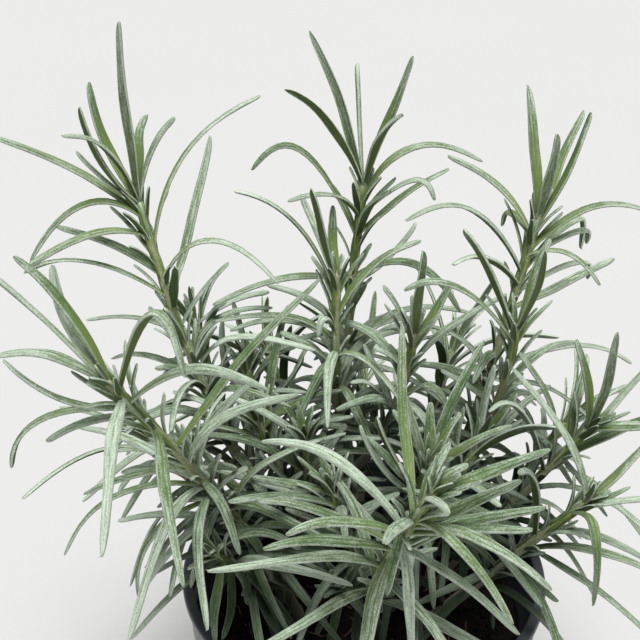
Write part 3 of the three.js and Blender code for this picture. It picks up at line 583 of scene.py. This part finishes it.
# ---- Meshes ----
class MeshParts:
    """Gathers the skins of one mesh. Each point is a row: its place, across, along and habit colour."""

    def __init__(self):
        self.rows = []
        self.faces = []
        self.slots = []
        self.count = 0

    def add_skin(self, rings, before, after, slot=0, across=None, along=None, habit=(0, 0, 0, 1)):
        """A closed skin over rings of points (rings, sides, 3), ended by a point before and one after.

        across (sides) and along (rings) say where on the surface each point lies; habit is an RGBA.
        """
        ring_count, sides = np.shape(rings)[:2]
        rows = np.empty((ring_count, sides, 9))
        rows[..., :3] = rings
        rows[..., 3] = np.arange(sides) / sides if across is None else across
        rows[..., 4] = (np.linspace(0, 1, ring_count) if along is None else along)[:, None]
        rows[..., 5:] = habit
        ends = [(*before, 0.5, *rows[0, 0, 4:]), (*after, 0.5, *rows[-1, 0, 4:])]
        self.rows += [rows.reshape(-1, 9), ends]
        grid = np.arange(ring_count * sides).reshape(ring_count, sides) + self.count
        turned = np.roll(grid, -1, axis=1)
        quads = np.stack((grid[:-1], turned[:-1], turned[1:], grid[1:]), axis=-1).reshape(-1, 4)
        first = self.count + ring_count * sides
        last = first + 1
        self.faces += quads.tolist()
        self.faces += [[first, b, a] for a, b in zip(grid[0].tolist(), turned[0].tolist())]
        self.faces += [[last, a, b] for a, b in zip(grid[-1].tolist(), turned[-1].tolist())]
        self.slots += [slot] * (len(quads) + 2 * sides)
        self.count += ring_count * sides + 2

    def build(self, name, materials):
        rows = np.vstack(self.rows)
        mesh = bpy.data.meshes.new(name)
        mesh.from_pydata((rows[:, :3] * MM).tolist(), [], self.faces)
        for material in materials:
            mesh.materials.append(material)
        mesh.polygons.foreach_set("material_index", self.slots)
        mesh.shade_smooth()
        corner = np.zeros(len(mesh.loops), np.int32)
        mesh.loops.foreach_get("vertex_index", corner)
        surface = mesh.uv_layers.new(name="surface")
        surface.data.foreach_set("uv", rows[corner, 3:5].astype(np.float32).ravel())
        habit = mesh.attributes.new("habit", "FLOAT_COLOR", "POINT")
        habit.data.foreach_set("color", rows[:, 5:].astype(np.float32).ravel())
        mesh.update()
        piece = bpy.data.objects.new(name, mesh)
        bpy.context.scene.collection.objects.link(piece)
        return piece


# The places of the two materials of a leafy stem.
LEAF_SLOT = 0
SHOOT_SLOT = 1
# A blade's section: rolled edges, two low ridges with a groove between them, and a rib beneath. Across is
# in half widths, up in millimetres, and the last value is 1 on the upper side and 0 beneath.
BLADE_SECTION = np.array(
    [
        (-1.0, -0.66, 1), (-0.96, -0.3, 1), (-0.76, 0.06, 1), (-0.38, 0.27, 1),
        (0.0, 0.2, 1),
        (0.38, 0.27, 1), (0.76, 0.06, 1), (0.96, -0.3, 1), (1.0, -0.66, 1),
        (0.86, -0.66, 0), (0.6, -0.36, 0), (0.28, -0.32, 0),
        (0.0, -0.52, 0),
        (-0.28, -0.32, 0), (-0.6, -0.36, 0), (-0.86, -0.66, 0),
    ]
)[::-1]
BLADE_STEPS = 13
TIP_STEPS = 6
TIP_START = 0.88
LAST_STEP = 0.996
ROLLS = (-12, 12)
TWISTS = (-30, 30)
TWIST_LENGTH = 25
WAVE = 0.5
WAVE_LENGTH = 30
WAVE_TURNS = 5
WAVE_RISE = (0.15, 0.6)
ROOT_WIDTH = 0.55
ROOT_WIDENING = (0, 0.42)
ROOT_THICKNESS = 0.75
ROOT_THICKENING = (0, 0.3)
TAPER = 0.42
TAPERING = (0.45, 1)
UNEVENNESS = 0.05
UNEVEN_TURNS = 11
YOUNG_AGE = 0.3


def smooth_step(low, high, value):
    share = np.clip((value - low) / (high - low), 0, 1)
    return share * share * (3 - 2 * share)


def blade_shares():
    """The shares of a blade's length where its rings lie, closer together on the rounded tip."""
    body = np.linspace(0, TIP_START, BLADE_STEPS)
    tip = np.sin(np.linspace(0, math.pi / 2, TIP_STEPS + 1)[1:-1])
    return np.concatenate((body, TIP_START + (1 - TIP_START) * tip, [LAST_STEP]))


def blade_form(share, width, phase):
    """The half width and the thickness of a blade along its length."""
    root_form = ROOT_WIDTH + (1 - ROOT_WIDTH) * smooth_step(*ROOT_WIDENING, share)
    tip_form = np.sqrt(1 - np.clip((share - TIP_START) / (1 - TIP_START), 0, 1) ** 2)
    taper = 1 - TAPER * smooth_step(*TAPERING, share)
    uneven = 1 + UNEVENNESS * np.sin(UNEVEN_TURNS * share + phase)
    root_thickness = ROOT_THICKNESS + (1 - ROOT_THICKNESS) * smooth_step(*ROOT_THICKENING, share)
    thickness = root_thickness * np.sqrt(tip_form) * min(1, width / BLADE_WIDTH)
    return width / 2 * root_form * taper * tip_form * uneven, thickness


def add_blade(parts, blade, width, silver, random):
    """One leaf along its line. `silver` is 0 for a green leaf and 1 for a felted one.

    Gives back the half width and the habit at its root.
    """
    line = blade["line"]
    share = blade_shares()
    to_bend, to_tip = line.bend - line.start, line.tip - line.bend
    tangent = unit((1 - share)[:, None] * to_bend + share[:, None] * to_tip)
    across = unit(blade["across"] - tangent * (tangent @ blade["across"])[:, None])
    upper = np.cross(tangent, across)

    length = line.length()
    roll = math.radians(between(ROLLS, random))
    twist = math.radians(between(TWISTS, random)) * min(1, length / TWIST_LENGTH)
    phase = FULL_TURN * random()
    tone = random()
    turn = (roll + twist * share**1.5)[:, None]
    wave = WAVE * min(1, length / WAVE_LENGTH) * smooth_step(*WAVE_RISE, share)
    centre = line.point(share) + across * (wave * np.sin(WAVE_TURNS * share + phase))[:, None]

    half, thickness = blade_form(share, width, phase)
    flat = (across * np.cos(turn) + upper * np.sin(turn)) * half[:, None]
    up = (upper * np.cos(turn) - across * np.sin(turn)) * thickness[:, None]
    section_across, section_up, section_side = BLADE_SECTION.T
    rings = (
        centre[:, None, :]
        + flat[:, None, :] * section_across[None, :, None]
        + up[:, None, :] * section_up[None, :, None]
    )
    young = 1 - smooth_step(0, YOUNG_AGE, blade["age"])
    habit = [(tone, silver, side, young) for side in section_side]
    before = centre[0] - tangent[0] * ROOT_DEPTH
    parts.add_skin(rings, before, line.tip, LEAF_SLOT, 0.5 + 0.5 * section_across, share, habit)
    return half[0], (tone, silver, 1, young)


BASE_REACH = 8
BASE_SIDES = 6
BASE_FORM = (0.7, 1.0, 0.95, 0.8, 0.4)
BASE_WIDTH = 0.85
BASE_HEIGHT = 0.5
BASE_LIFT = 0.8


def add_leaf_base(parts, blade, half, habit):
    """The low ridge that a leaf's base makes down its shoot, so that the leaf clasps it."""
    curve = blade["curve"]
    top = 1 - blade["age"]
    foot = top - BASE_REACH / curve.length()
    if foot < 0:
        return
    turn = circle(BASE_SIDES)[:, None]
    lean = blade["line"].bend - blade["line"].start
    rings = []
    for share, form in zip(np.linspace(top, foot, len(BASE_FORM)), BASE_FORM):
        tangent = curve.tangent(share)
        side = unit(lean - tangent * (lean @ tangent))
        lateral = np.cross(side, tangent)
        centre = curve.point(share) + side * curve.radius(share) * BASE_LIFT
        flat = lateral * BASE_WIDTH * half * form * np.cos(turn)
        rings.append(centre + flat + side * BASE_HEIGHT * form * np.sin(turn))
    before, after = (ring.mean(axis=0) for ring in (rings[0], rings[-1]))
    across = 0.5 + 0.25 * np.cos(turn[:, 0])
    parts.add_skin(rings, before, after, LEAF_SLOT, across, np.zeros(len(BASE_FORM)), habit)


SHOOT_SIDES = 12
SHOOT_STEPS = 40
SHOOT_BUMP = 0.05
SHOOT_BUMPS = 3
SHOOT_BUMP_TURN = 40


def add_shoot(parts, curve, pegged, tone):
    """A round shoot, and the peg below it where it stands in the soil."""
    share = np.linspace(0, 1, SHOOT_STEPS)
    centre = curve.point(share)
    tangents = np.array([curve.tangent(s) for s in share])
    if pegged:
        tangents[0] = (0, 0, 1)
        peg = (*centre[0][:2], SOIL_LEVEL - PEG_DEPTH)
        centre = np.vstack((peg, centre))
        tangents = np.vstack(((0, 0, 1), tangents))
        share = np.append(0, share)
    turn = circle(SHOOT_SIDES)[:, None]
    rings = []
    for point, tangent, s in zip(centre, tangents, share):
        first, second = square_to(tangent)
        bumps = 1 + SHOOT_BUMP * np.sin(SHOOT_BUMPS * turn + SHOOT_BUMP_TURN * s) * (s > 0)
        rings.append(point + (first * np.cos(turn) + second * np.sin(turn)) * curve.radius(s) * bumps)
    after = centre[-1] + tangents[-1] * 2 * TIP_RADIUS
    parts.add_skin(rings, centre[0], after, SHOOT_SLOT, along=share, habit=(tone, 0, 1, 0))


# ---- Materials ----
# Where leaves count as facing up, for a painted highlight on faces toward the sky, and where they are deep in
# the tuft, for painted shade.
PAINTED_TOP_LIGHT_LIMITS = (0.3, 0.95)
PAINTED_SHADE_HEIGHTS = (92 * MM, 145 * MM)
PAINTED_SHADE_RADII = (42 * MM, 62 * MM)
PAINTED_SHADE_SHARE = 0.95
# The near-black green of the painted shade deep in the tuft.
PAINTED_SHADE_GREEN = (0.006, 0.018, 0.004)
# Pairs of colours that a noise or a leaf's own tone runs between, dark to light.
YOUNG_GREENS = ((0.13, 0.195, 0.045), (0.23, 0.3, 0.09))
OLD_GREENS = ((0.06, 0.115, 0.034), (0.115, 0.175, 0.058))
BACK_GREEN = (0.11, 0.15, 0.06)
FELTS = ((0.18, 0.245, 0.155), (0.61, 0.705, 0.585))
EDGE_FELT = (0.66, 0.73, 0.62)
BARKS = ((0.27, 0.24, 0.14), (0.46, 0.43, 0.29))
SHOOT_GREENS = ((0.2, 0.225, 0.09), (0.33, 0.35, 0.18))
SHOOT_FELT = (0.5, 0.52, 0.38)
PLASTICS = ((0.03, 0.034, 0.038), (0.055, 0.062, 0.07))
COMPOSTS = ((0.003, 0.0025, 0.002), (0.014, 0.01, 0.007))
COMPOST_FLECK = (0.035, 0.02, 0.014)
FIBRES = ((0.05, 0.022, 0.015), (0.11, 0.05, 0.035))
FLOOR_PAINTS = ((0.54, 0.54, 0.53), (0.56, 0.56, 0.55))


class Nodes:
    """A short way to write a material's nodes."""

    def __init__(self, name):
        self.material = bpy.data.materials.new(name)
        self.material.use_nodes = True
        self.tree = self.material.node_tree
        self.shader = self.tree.nodes["Principled BSDF"]

    def add(self, kind, **settings):
        node = self.tree.nodes.new(kind)
        for key, value in settings.items():
            setattr(node, key, value)
        return node

    def put(self, sockets, sources):
        """Gives each socket its number, its colour or the output that feeds it."""
        for socket, source in zip(sockets, sources):
            if isinstance(source, (int, float)):
                socket.default_value = source
            elif isinstance(source, tuple):
                socket.default_value = (*source, 1)
            else:
                self.tree.links.new(source, socket)

    def fed(self, kind, *sources, **settings):
        """A new node with its first inputs set."""
        node = self.add(kind, **settings)
        self.put(node.inputs, sources)
        return node.outputs

    def math(self, operation, *sources):
        return self.fed("ShaderNodeMath", *sources, operation=operation)[0]

    def plus(self, first, second):
        return self.math("ADD", first, second)

    def times(self, first, second):
        return self.math("MULTIPLY", first, second)

    def scaled(self, source, scale, start):
        return self.math("MULTIPLY_ADD", source, scale, start)

    def ramp(self, source, low, high, to_low=0.0, to_high=1.0):
        """A smooth way from one value at the low limit to another at the high one."""
        limits = (low, high, to_low, to_high)
        return self.fed("ShaderNodeMapRange", source, *limits, interpolation_type="SMOOTHSTEP")[0]

    def fall(self, source, low, high):
        """1 below the low limit, falling to 0 at the high one."""
        return self.ramp(source, low, high, 1.0, 0.0)

    def mix(self, factor, first, second):
        node = self.add("ShaderNodeMix", data_type="RGBA")
        self.put((node.inputs[0], node.inputs[6], node.inputs[7]), (factor, first, second))
        return node.outputs[2]

    def noise(self, place, scale, detail=2.0, roughness=0.5):
        node = self.add("ShaderNodeTexNoise")
        names = ("Vector", "Scale", "Detail", "Roughness")
        self.put([node.inputs[name] for name in names], (place, scale, detail, roughness))
        return node.outputs[0]

    def parts(self, source):
        """The three parts of a place or direction."""
        return self.fed("ShaderNodeSeparateXYZ", source)

    def place(self):
        return self.add("ShaderNodeTexCoord").outputs["Object"]

    def surface(self):
        """How far across and along a leaf or shoot each point lies."""
        return self.parts(self.add("ShaderNodeUVMap", uv_map="surface").outputs[0])[:2]

    def habit(self):
        """The four values that each point of a leaf carries."""
        attribute = self.add("ShaderNodeAttribute", attribute_name="habit").outputs
        return (*self.fed("ShaderNodeSeparateColor", attribute["Color"]), attribute["Alpha"])

    def painted_top_light(self):
        """Painted highlight: 1 where the surface faces the sky and 0 where it is steep or faces down."""
        normal = self.add("ShaderNodeTexCoord").outputs["Normal"]
        return self.ramp(self.parts(normal)[2], *PAINTED_TOP_LIGHT_LIMITS)

    def painted_tuft_shade(self):
        """How much painted shade darkens leaves and shoots: 0 outside the tuft and most low in its middle."""
        x, y, z = self.parts(self.place())
        radius = self.math("SQRT", self.plus(self.times(x, x), self.times(y, y)))
        low = self.fall(z, *PAINTED_SHADE_HEIGHTS)
        inner = self.fall(radius, *PAINTED_SHADE_RADII)
        return self.times(self.times(low, inner), PAINTED_SHADE_SHARE)

    def finish(self, colour, roughness, specular=0.5, sheen=0.0, sheen_roughness=0.5):
        """Sets the shader's own values and gives the material."""
        inputs = self.shader.inputs
        self.put((inputs["Base Color"], inputs["Roughness"]), (colour, roughness))
        inputs["Specular IOR Level"].default_value = specular
        inputs["Sheen Weight"].default_value = sheen
        inputs["Sheen Roughness"].default_value = sheen_roughness
        return self.material

    def bump(self, height, strength, distance):
        node = self.add("ShaderNodeBump")
        names = ("Height", "Strength", "Distance")
        self.put([node.inputs[name] for name in names], (height, strength, distance * MM))
        self.put([self.shader.inputs["Normal"]], [node.outputs[0]])


def leaf_material():
    """Green leaf under short white felt: whiter on its edges and tip, olive near the root and beneath."""
    n = Nodes("curry_leaf")
    tone, silver, upper, young = n.habit()
    across, along = n.surface()
    lengthwise = (n.times(across, 7.0), n.times(along, 9.0), n.times(tone, 90.0))
    streaks = n.noise(n.fed("ShaderNodeCombineXYZ", *lengthwise)[0], 1.0, 4.0, 0.65)
    speckle = n.noise(n.place(), 3000.0, 3.0, 0.85)
    patches = n.noise(n.place(), 140.0)

    offset = n.math("ABSOLUTE", n.scaled(across, 2.0, -1.0))
    # Painted shade: the groove down the middle of the upper side is painted darker, with less felt.
    groove_shade = n.times(n.fall(offset, 0.0, 0.24), upper)
    margin = n.ramp(offset, 0.78, 0.96)
    tip = n.ramp(along, 0.6, 1.0)
    root = n.fall(n.scaled(young, -0.3, along), -0.1, 0.5)
    back = n.scaled(upper, -1.0, 1.0)
    # Painted highlight: faces toward the sky get less young green and more white felt colour.
    painted_top_light = n.painted_top_light()
    young_cover = n.times(n.times(root, n.scaled(silver, -0.5, 1.0)), n.scaled(painted_top_light, -0.6, 1.0))

    green = n.mix(young_cover, n.mix(tone, *OLD_GREENS), n.mix(tone, *YOUNG_GREENS))
    green = n.mix(n.times(back, 0.75), green, BACK_GREEN)
    grain = n.scaled(patches, 0.5, n.scaled(speckle, 1.3, streaks))
    # The felt's cover, with the painted highlight on sky-facing faces and the painted groove shade added in.
    felt_and_painted_light = n.plus(n.ramp(grain, 1.05, 1.75, -0.25, 0.32), 0.07)
    felt_and_top_light = ((silver, 0.75), (margin, 0.35), (tip, 0.35), (painted_top_light, 0.22))
    # Less felt beneath and near a young root, and, as painted shade, in the groove.
    bare_and_groove_shade = ((groove_shade, -0.3), (young_cover, -0.3), (back, -0.3))
    for source, share in felt_and_top_light + bare_and_groove_shade:
        felt_and_painted_light = n.scaled(source, share, felt_and_painted_light)
    felt_tone_and_groove_shade = n.scaled(tone, 0.45, n.ramp(speckle, 0.3, 0.7, 0.08, 0.52))
    felt_tone_and_groove_shade = n.plus(felt_tone_and_groove_shade, n.ramp(streaks, 0.35, 0.65, -0.25, 0.25))
    # Painted shade darkens the felt colour in the groove.
    felt_tone_and_groove_shade = n.scaled(groove_shade, -0.25, felt_tone_and_groove_shade)
    colour = n.mix(n.ramp(felt_and_painted_light, 0.0, 1.0, 0.03, 0.95), green, n.mix(felt_tone_and_groove_shade, *FELTS))
    edge = n.times(margin, n.ramp(speckle, 0.3, 0.7, 0.15, 0.75))
    colour = n.mix(edge, colour, EDGE_FELT)
    # Painted shade: leaves low in the middle of the tuft are darkened to a near-black green.
    colour = n.mix(n.painted_tuft_shade(), colour, PAINTED_SHADE_GREEN)
    n.bump(n.scaled(speckle, 0.6, streaks), 0.5, 0.3)
    return n.finish(colour, 0.7, specular=0.1, sheen=0.15, sheen_roughness=0.3)


def shoot_material():
    """Pale felted stem, brownish near the soil and green towards the growing tip."""
    n = Nodes("curry_stem")
    _, along = n.surface()
    speckle = n.noise(n.place(), 1800.0, 3.0, 0.7)
    patches = n.noise(n.place(), 220.0, 3.0)
    low = n.fall(along, 0.0, 0.6)
    colour = n.mix(low, n.mix(patches, *SHOOT_GREENS), n.mix(patches, *BARKS))
    colour = n.mix(n.ramp(speckle, 0.4, 0.7, 0.0, 0.6), colour, SHOOT_FELT)
    # Painted shade, as on the leaves, low in the middle of the tuft.
    colour = n.mix(n.times(n.painted_tuft_shade(), 0.7), colour, PAINTED_SHADE_GREEN)
    n.bump(speckle, 0.5, 0.3)
    return n.finish(colour, 0.8, sheen=0.1)


def pot_material():
    """Thin dark grey plastic with a soft shine and faint scuffs."""
    n = Nodes("pot_plastic")
    clouds = n.noise(n.place(), 60.0, 4.0, 0.6)
    grain = n.noise(n.place(), 1500.0)
    n.bump(n.plus(grain, clouds), 0.25, 0.2)
    return n.finish(n.mix(clouds, *PLASTICS), n.ramp(clouds, 0.3, 0.7, 0.32, 0.48))


def soil_material():
    """Moist dark compost with lighter brown flecks."""
    n = Nodes("compost")
    coarse = n.noise(n.place(), 260.0, 4.0, 0.65)
    fine = n.noise(n.place(), 1400.0, 3.0, 0.7)
    colour = n.mix(n.ramp(coarse, 0.4, 0.7), *COMPOSTS)
    colour = n.mix(n.ramp(fine, 0.6, 0.8, 0.0, 0.6), colour, COMPOST_FLECK)
    n.bump(n.plus(coarse, fine), 0.8, 1.0)
    return n.finish(colour, 0.85, specular=0.1)


def fibre_material():
    n = Nodes("soil_fibre")
    return n.finish(n.mix(n.noise(n.place(), 300.0), *FIBRES), 0.7)


def floor_material():
    n = Nodes("floor_paint")
    return n.finish(n.mix(n.noise(n.place(), 3.0), *FLOOR_PAINTS), 0.9, specular=0.1)


# ---- Leafy stems ----
LOOKS_SEED = 500
LEAF_WIDTHS = (0.84, 1.1)
BUD_WIDTHS = (0.55, 0.75)
SMALL_WIDTHS = (0.5, 0.7)
SILVER_BY_AGE = 0.25
SILVER_BY_CHANCE = 1.15
BUD_SILVERS = (0, 0.3)
SMALL_SILVERS = (0.2, 0.7)


def make_stem(grown, index, materials):
    random = seeded_random(LOOKS_SEED + index)
    parts = MeshParts()
    for i, curve in enumerate(grown["curves"]):
        add_shoot(parts, curve, i == 0, random())
    for blade in grown["blades"]:
        silver = min(1, SILVER_BY_AGE * blade["age"] + SILVER_BY_CHANCE * random() ** 2)
        width = BLADE_WIDTH * between(LEAF_WIDTHS, random)
        add_leaf_base(parts, blade, *add_blade(parts, blade, width, silver, random))
    for blade in grown["buds"]:
        width = BLADE_WIDTH * between(BUD_WIDTHS, random)
        silver = between(BUD_SILVERS, random)
        add_leaf_base(parts, blade, *add_blade(parts, blade, width, silver, random))
    for blade in grown["small"]:
        width = BLADE_WIDTH * between(SMALL_WIDTHS, random)
        add_blade(parts, blade, width, between(SMALL_SILVERS, random), random)
    piece = parts.build("leafy_" + grown["name"], materials)
    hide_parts(grown["name"])
    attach(piece, "root")


# ---- Pot ----
POT_SIDES = 144
DRAIN_SIDES = 20
DRAIN_OVERCUT = 2
SHARP_ANGLE = 35
# The radii of its rounded edges.
FOOT_EDGE = 1
COLLAR_EDGE = 0.9
LIP_UNDER_EDGE = 0.5
LIP_OUTER_EDGE = 0.9
LIP_INNER_EDGE = 0.6


def arc(centre, radius, start, stop, steps):
    """Points of a round stretch of an outline, by angles in degrees."""
    angles = np.radians(np.linspace(start, stop, steps))
    return [(centre[0] + radius * math.cos(a), centre[1] + radius * math.sin(a)) for a in angles]


def pot_outline():
    """The pot's section, as radius and height, from under its base over the lip to its floor.

    The small offsets soften the corners between its named sizes.
    """
    collar_foot = POT_HEIGHT - COLLAR_HEIGHT
    lip_foot = POT_HEIGHT - LIP_DEPTH
    lip_inside = RIM_RADIUS - LIP_WIDTH
    return [
        (BASE_RADIUS - 4, 0),
        *arc((BASE_RADIUS - FOOT_EDGE, FOOT_EDGE), FOOT_EDGE, -90, -8, 5),
        (WALL_RADIUS_TOP - 0.1, collar_foot - 1.6),
        *arc((COLLAR_RADIUS - 1.2, collar_foot + 0.2), COLLAR_EDGE, -60, -5, 4),
        (COLLAR_RADIUS, lip_foot - 0.2),
        *arc((RIM_RADIUS - LIP_UNDER_EDGE, lip_foot + 0.6), LIP_UNDER_EDGE, -80, 0, 4),
        *arc((RIM_RADIUS - LIP_OUTER_EDGE, POT_HEIGHT - LIP_OUTER_EDGE), LIP_OUTER_EDGE, 5, 90, 6),
        *arc((lip_inside + LIP_INNER_EDGE, POT_HEIGHT - LIP_INNER_EDGE), LIP_INNER_EDGE, 90, 175, 5),
        (COLLAR_RADIUS - WALL - 0.4, collar_foot + 1),
        (WALL_RADIUS_TOP - WALL, INNER_SHOULDER),
        (BASE_RADIUS - WALL - 0.3, BASE_THICKNESS + 0.5),
        (BASE_RADIUS - WALL - 1.2, BASE_THICKNESS),
    ]


def level_ring(radius, height, turn):
    return np.column_stack((radius * np.cos(turn), radius * np.sin(turn), np.full(len(turn), height)))


def make_pot():
    rings = [level_ring(radius, height, circle(POT_SIDES)) for radius, height in pot_outline()]
    parts = MeshParts()
    parts.add_skin(rings, (0, 0, 0), (0, 0, BASE_THICKNESS))
    pot = parts.build("nursery_pot", [pot_material()])
    cut_drains(pot)
    pot.data.shade_smooth()
    pot.data.set_sharp_from_angle(angle=math.radians(SHARP_ANGLE))
    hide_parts("pot")
    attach(pot, "root")


def cut_drains(pot):
    """Cuts the round drain holes in the pot's base."""
    parts = MeshParts()
    below, above = (0, 0, -DRAIN_OVERCUT), (0, 0, 2 * BASE_THICKNESS)
    ring = level_ring(DRAIN_RADIUS, 0, circle(DRAIN_SIDES))
    for i in range(DRAIN_COUNT):
        angle = (i + 0.5) / DRAIN_COUNT * FULL_TURN
        centre = np.array((DRAIN_CIRCLE * math.cos(angle), DRAIN_CIRCLE * math.sin(angle), 0))
        parts.add_skin([centre + ring + below, centre + ring + above], centre + below, centre + above)
    cutter = parts.build("drain_cutter", [])
    cut = pot.modifiers.new("drains", "BOOLEAN")
    cut.object = cutter
    cut.operation = "DIFFERENCE"
    cut.solver = "EXACT"
    graph = bpy.context.evaluated_depsgraph_get()
    cut_mesh = bpy.data.meshes.new_from_object(pot.evaluated_get(graph))
    pot.modifiers.clear()
    pot.data = cut_mesh
    bpy.data.objects.remove(cutter)


# ---- Compost ----
SOIL_SEED = 41
SOIL_SIDES = 180
SOIL_RING_COUNT = 60
SOIL_RADIUS = 37.5
SOIL_MIDDLE = 0.6
ROUGH_HEIGHT = 0.9
ROUGH_SCALE = 0.45
ROUGH_LAYER = 3.0
# The roughness of the fractal noise, the step between its octaves and their number.
ROUGH_FRACTAL = (0.8, 2.2, 4)
CRUMB_COUNT = 420
CRUMB_REACH = 36.5
CRUMB_SIZE = 0.4
CRUMB_GROWTH = 1.2
CRUMB_SIDES = 7
CRUMB_LEVELS = 5
CRUMB_FORMS = (0.75, 1.25)
CRUMB_HEIGHT = 0.8
CRUMB_LIFT = 0.15
FIBRE_SEED = 77
FIBRE_COUNT = 60
FIBRE_SIDES = 5
FIBRE_STEPS = 12
FIBRE_RADIUS = 0.18
FIBRE_REACH = 34
FIBRE_LIMIT = 37
FIBRE_LENGTHS = (5, 14)
FIBRE_CURLS = (-0.12, 0.12)
FIBRE_LIFT = 0.5
FIBRE_WAVE = 0.5
FIBRE_WAVE_TURN = 0.9
# Keeps a fibre's direction off the X axis, which square_to starts from.
FIBRE_TILT = (0, 0, 0.01)


def inside_radius(z):
    """The soil's radius beside the pot's sloping wall."""
    slope = (WALL_RADIUS_TOP - BASE_RADIUS) / INNER_SHOULDER
    return BASE_RADIUS - WALL + slope * (z - BASE_THICKNESS) - WALL_CLEARANCE


def crumbly_height(x, y):
    place = Vector((x * ROUGH_SCALE, y * ROUGH_SCALE, ROUGH_LAYER))
    return soil_height(x, y) + ROUGH_HEIGHT * noise.fractal(place, *ROUGH_FRACTAL)


def drawn_place(reach, random):
    """A place on the soil within a reach of its middle, and its direction from there."""
    radius = reach * math.sqrt(random())
    angle = FULL_TURN * random()
    return radius * math.cos(angle), radius * math.sin(angle), angle


def add_crumb(parts, centre, size, random):
    """A lump of compost: a small uneven ball."""
    turn = circle(CRUMB_SIDES)
    rings = []
    for level in range(1, CRUMB_LEVELS):
        polar = math.pi * level / CRUMB_LEVELS
        reach = size * np.array([between(CRUMB_FORMS, random) for _ in turn])
        height = -size * CRUMB_HEIGHT * math.cos(polar)
        rings.append(centre + level_ring(reach * math.sin(polar), height, turn))
    top = np.array((0, 0, CRUMB_HEIGHT * size))
    parts.add_skin(rings, centre - top, centre + top)


def make_soil():
    random = seeded_random(SOIL_SEED)
    parts = MeshParts()
    turn = circle(SOIL_SIDES)
    floor = BASE_THICKNESS + CLEARANCE
    rings = [level_ring(inside_radius(z), z, turn) for z in (floor, INNER_SHOULDER)]
    for radius in np.linspace(SOIL_RADIUS, SOIL_MIDDLE, SOIL_RING_COUNT):
        ring = level_ring(radius, 0, turn)
        ring[:, 2] = [crumbly_height(x, y) for x, y, _ in ring]
        rings.append(ring)
    parts.add_skin(rings, (0, 0, floor), (0, 0, crumbly_height(0, 0)))
    for _ in range(CRUMB_COUNT):
        x, y, _ = drawn_place(CRUMB_REACH, random)
        size = CRUMB_SIZE + CRUMB_GROWTH * random() ** 2
        add_crumb(parts, np.array((x, y, crumbly_height(x, y) + CRUMB_LIFT * size)), size, random)
    soil = parts.build("compost_bed", [soil_material()])
    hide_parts("soil")
    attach(soil, "root")


def fibre_line(random):
    """The middle line of a fibre that wanders over the compost."""
    x, y, angle = drawn_place(FIBRE_REACH, random)
    heading = FULL_TURN * random()
    step_length = between(FIBRE_LENGTHS, random) / FIBRE_STEPS
    curl = between(FIBRE_CURLS, random)
    points = []
    for step in range(FIBRE_STEPS):
        wave = FIBRE_WAVE * math.sin(step * FIBRE_WAVE_TURN + angle)
        points.append((x, y, crumbly_height(x, y) + FIBRE_LIFT + wave))
        heading += curl
        x += step_length * math.cos(heading)
        y += step_length * math.sin(heading)
    return np.array(points)


def make_fibres():
    """Thin reddish-brown fibres that lie on the compost."""
    random = seeded_random(FIBRE_SEED)
    parts = MeshParts()
    turn = circle(FIBRE_SIDES)[:, None]
    for _ in range(FIBRE_COUNT):
        points = fibre_line(random)
        if np.hypot(points[:, 0], points[:, 1]).max() > FIBRE_LIMIT:
            continue
        rings = []
        for point, tangent in zip(points, np.gradient(points, axis=0)):
            first, second = square_to(unit(tangent + FIBRE_TILT))
            rings.append(point + FIBRE_RADIUS * (first * np.cos(turn) + second * np.sin(turn)))
        parts.add_skin(rings, points[0], points[-1])
    fibres = parts.build("soil_fibres", [fibre_material()])
    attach(fibres, "root")


# ---- Camera, light and floor ----
FOCAL_PIXELS = 1050
IMAGE_PIXELS = 640
SENSOR = 36.0
CAMERA_PLACE = (-10.8, -202.0, 259.0)
CAMERA_PITCH = 28.5
NEAREST_VIEW = 10
FLOOR_METRES = 6
ROOM_WHITE = (1.0, 1.0, 1.0, 1)
ROOM_BRIGHTNESS = 0.21
WINDOW_ANGLE = 30
WINDOW_ENERGY = 4.35
WINDOW_DIRECTION = (-0.06, 0.26, -1.0)


def make_camera():
    data = bpy.data.cameras.new("view")
    data.sensor_width = SENSOR
    data.lens = SENSOR * FOCAL_PIXELS / IMAGE_PIXELS
    data.clip_start = NEAREST_VIEW * MM
    camera = bpy.data.objects.new("view", data)
    camera.location = Vector(CAMERA_PLACE) * MM
    camera.rotation_euler = (math.radians(90 - CAMERA_PITCH), 0, 0)
    bpy.context.scene.collection.objects.link(camera)
    bpy.context.scene.camera = camera


def make_floor():
    bpy.ops.mesh.primitive_plane_add(size=FLOOR_METRES)
    floor = bpy.context.object
    floor.name = "floor"
    floor.data.materials.append(floor_material())


def make_light():
    """A bright even room, with a broad soft light high in front, a little to the right."""
    world = bpy.data.worlds.new("soft_room")
    world.use_nodes = True
    background = world.node_tree.nodes["Background"]
    background.inputs["Color"].default_value = ROOM_WHITE
    background.inputs["Strength"].default_value = ROOM_BRIGHTNESS
    bpy.context.scene.world = world
    data = bpy.data.lights.new("window", "SUN")
    data.angle = math.radians(WINDOW_ANGLE)
    data.energy = WINDOW_ENERGY
    light = bpy.data.objects.new("window", data)
    light.rotation_euler = Vector(WINDOW_DIRECTION).to_track_quat("-Z", "Y").to_euler()
    bpy.context.scene.collection.objects.link(light)
    bpy.context.scene.view_settings.view_transform = "Standard"


# ---- Build ----
make_camera()
make_light()
make_floor()
make_pot()
make_soil()
make_fibres()
stem_materials = [leaf_material(), shoot_material()]
for stem_number, grown_stem in enumerate(grow_plant()):
    make_stem(grown_stem, stem_number, stem_materials)
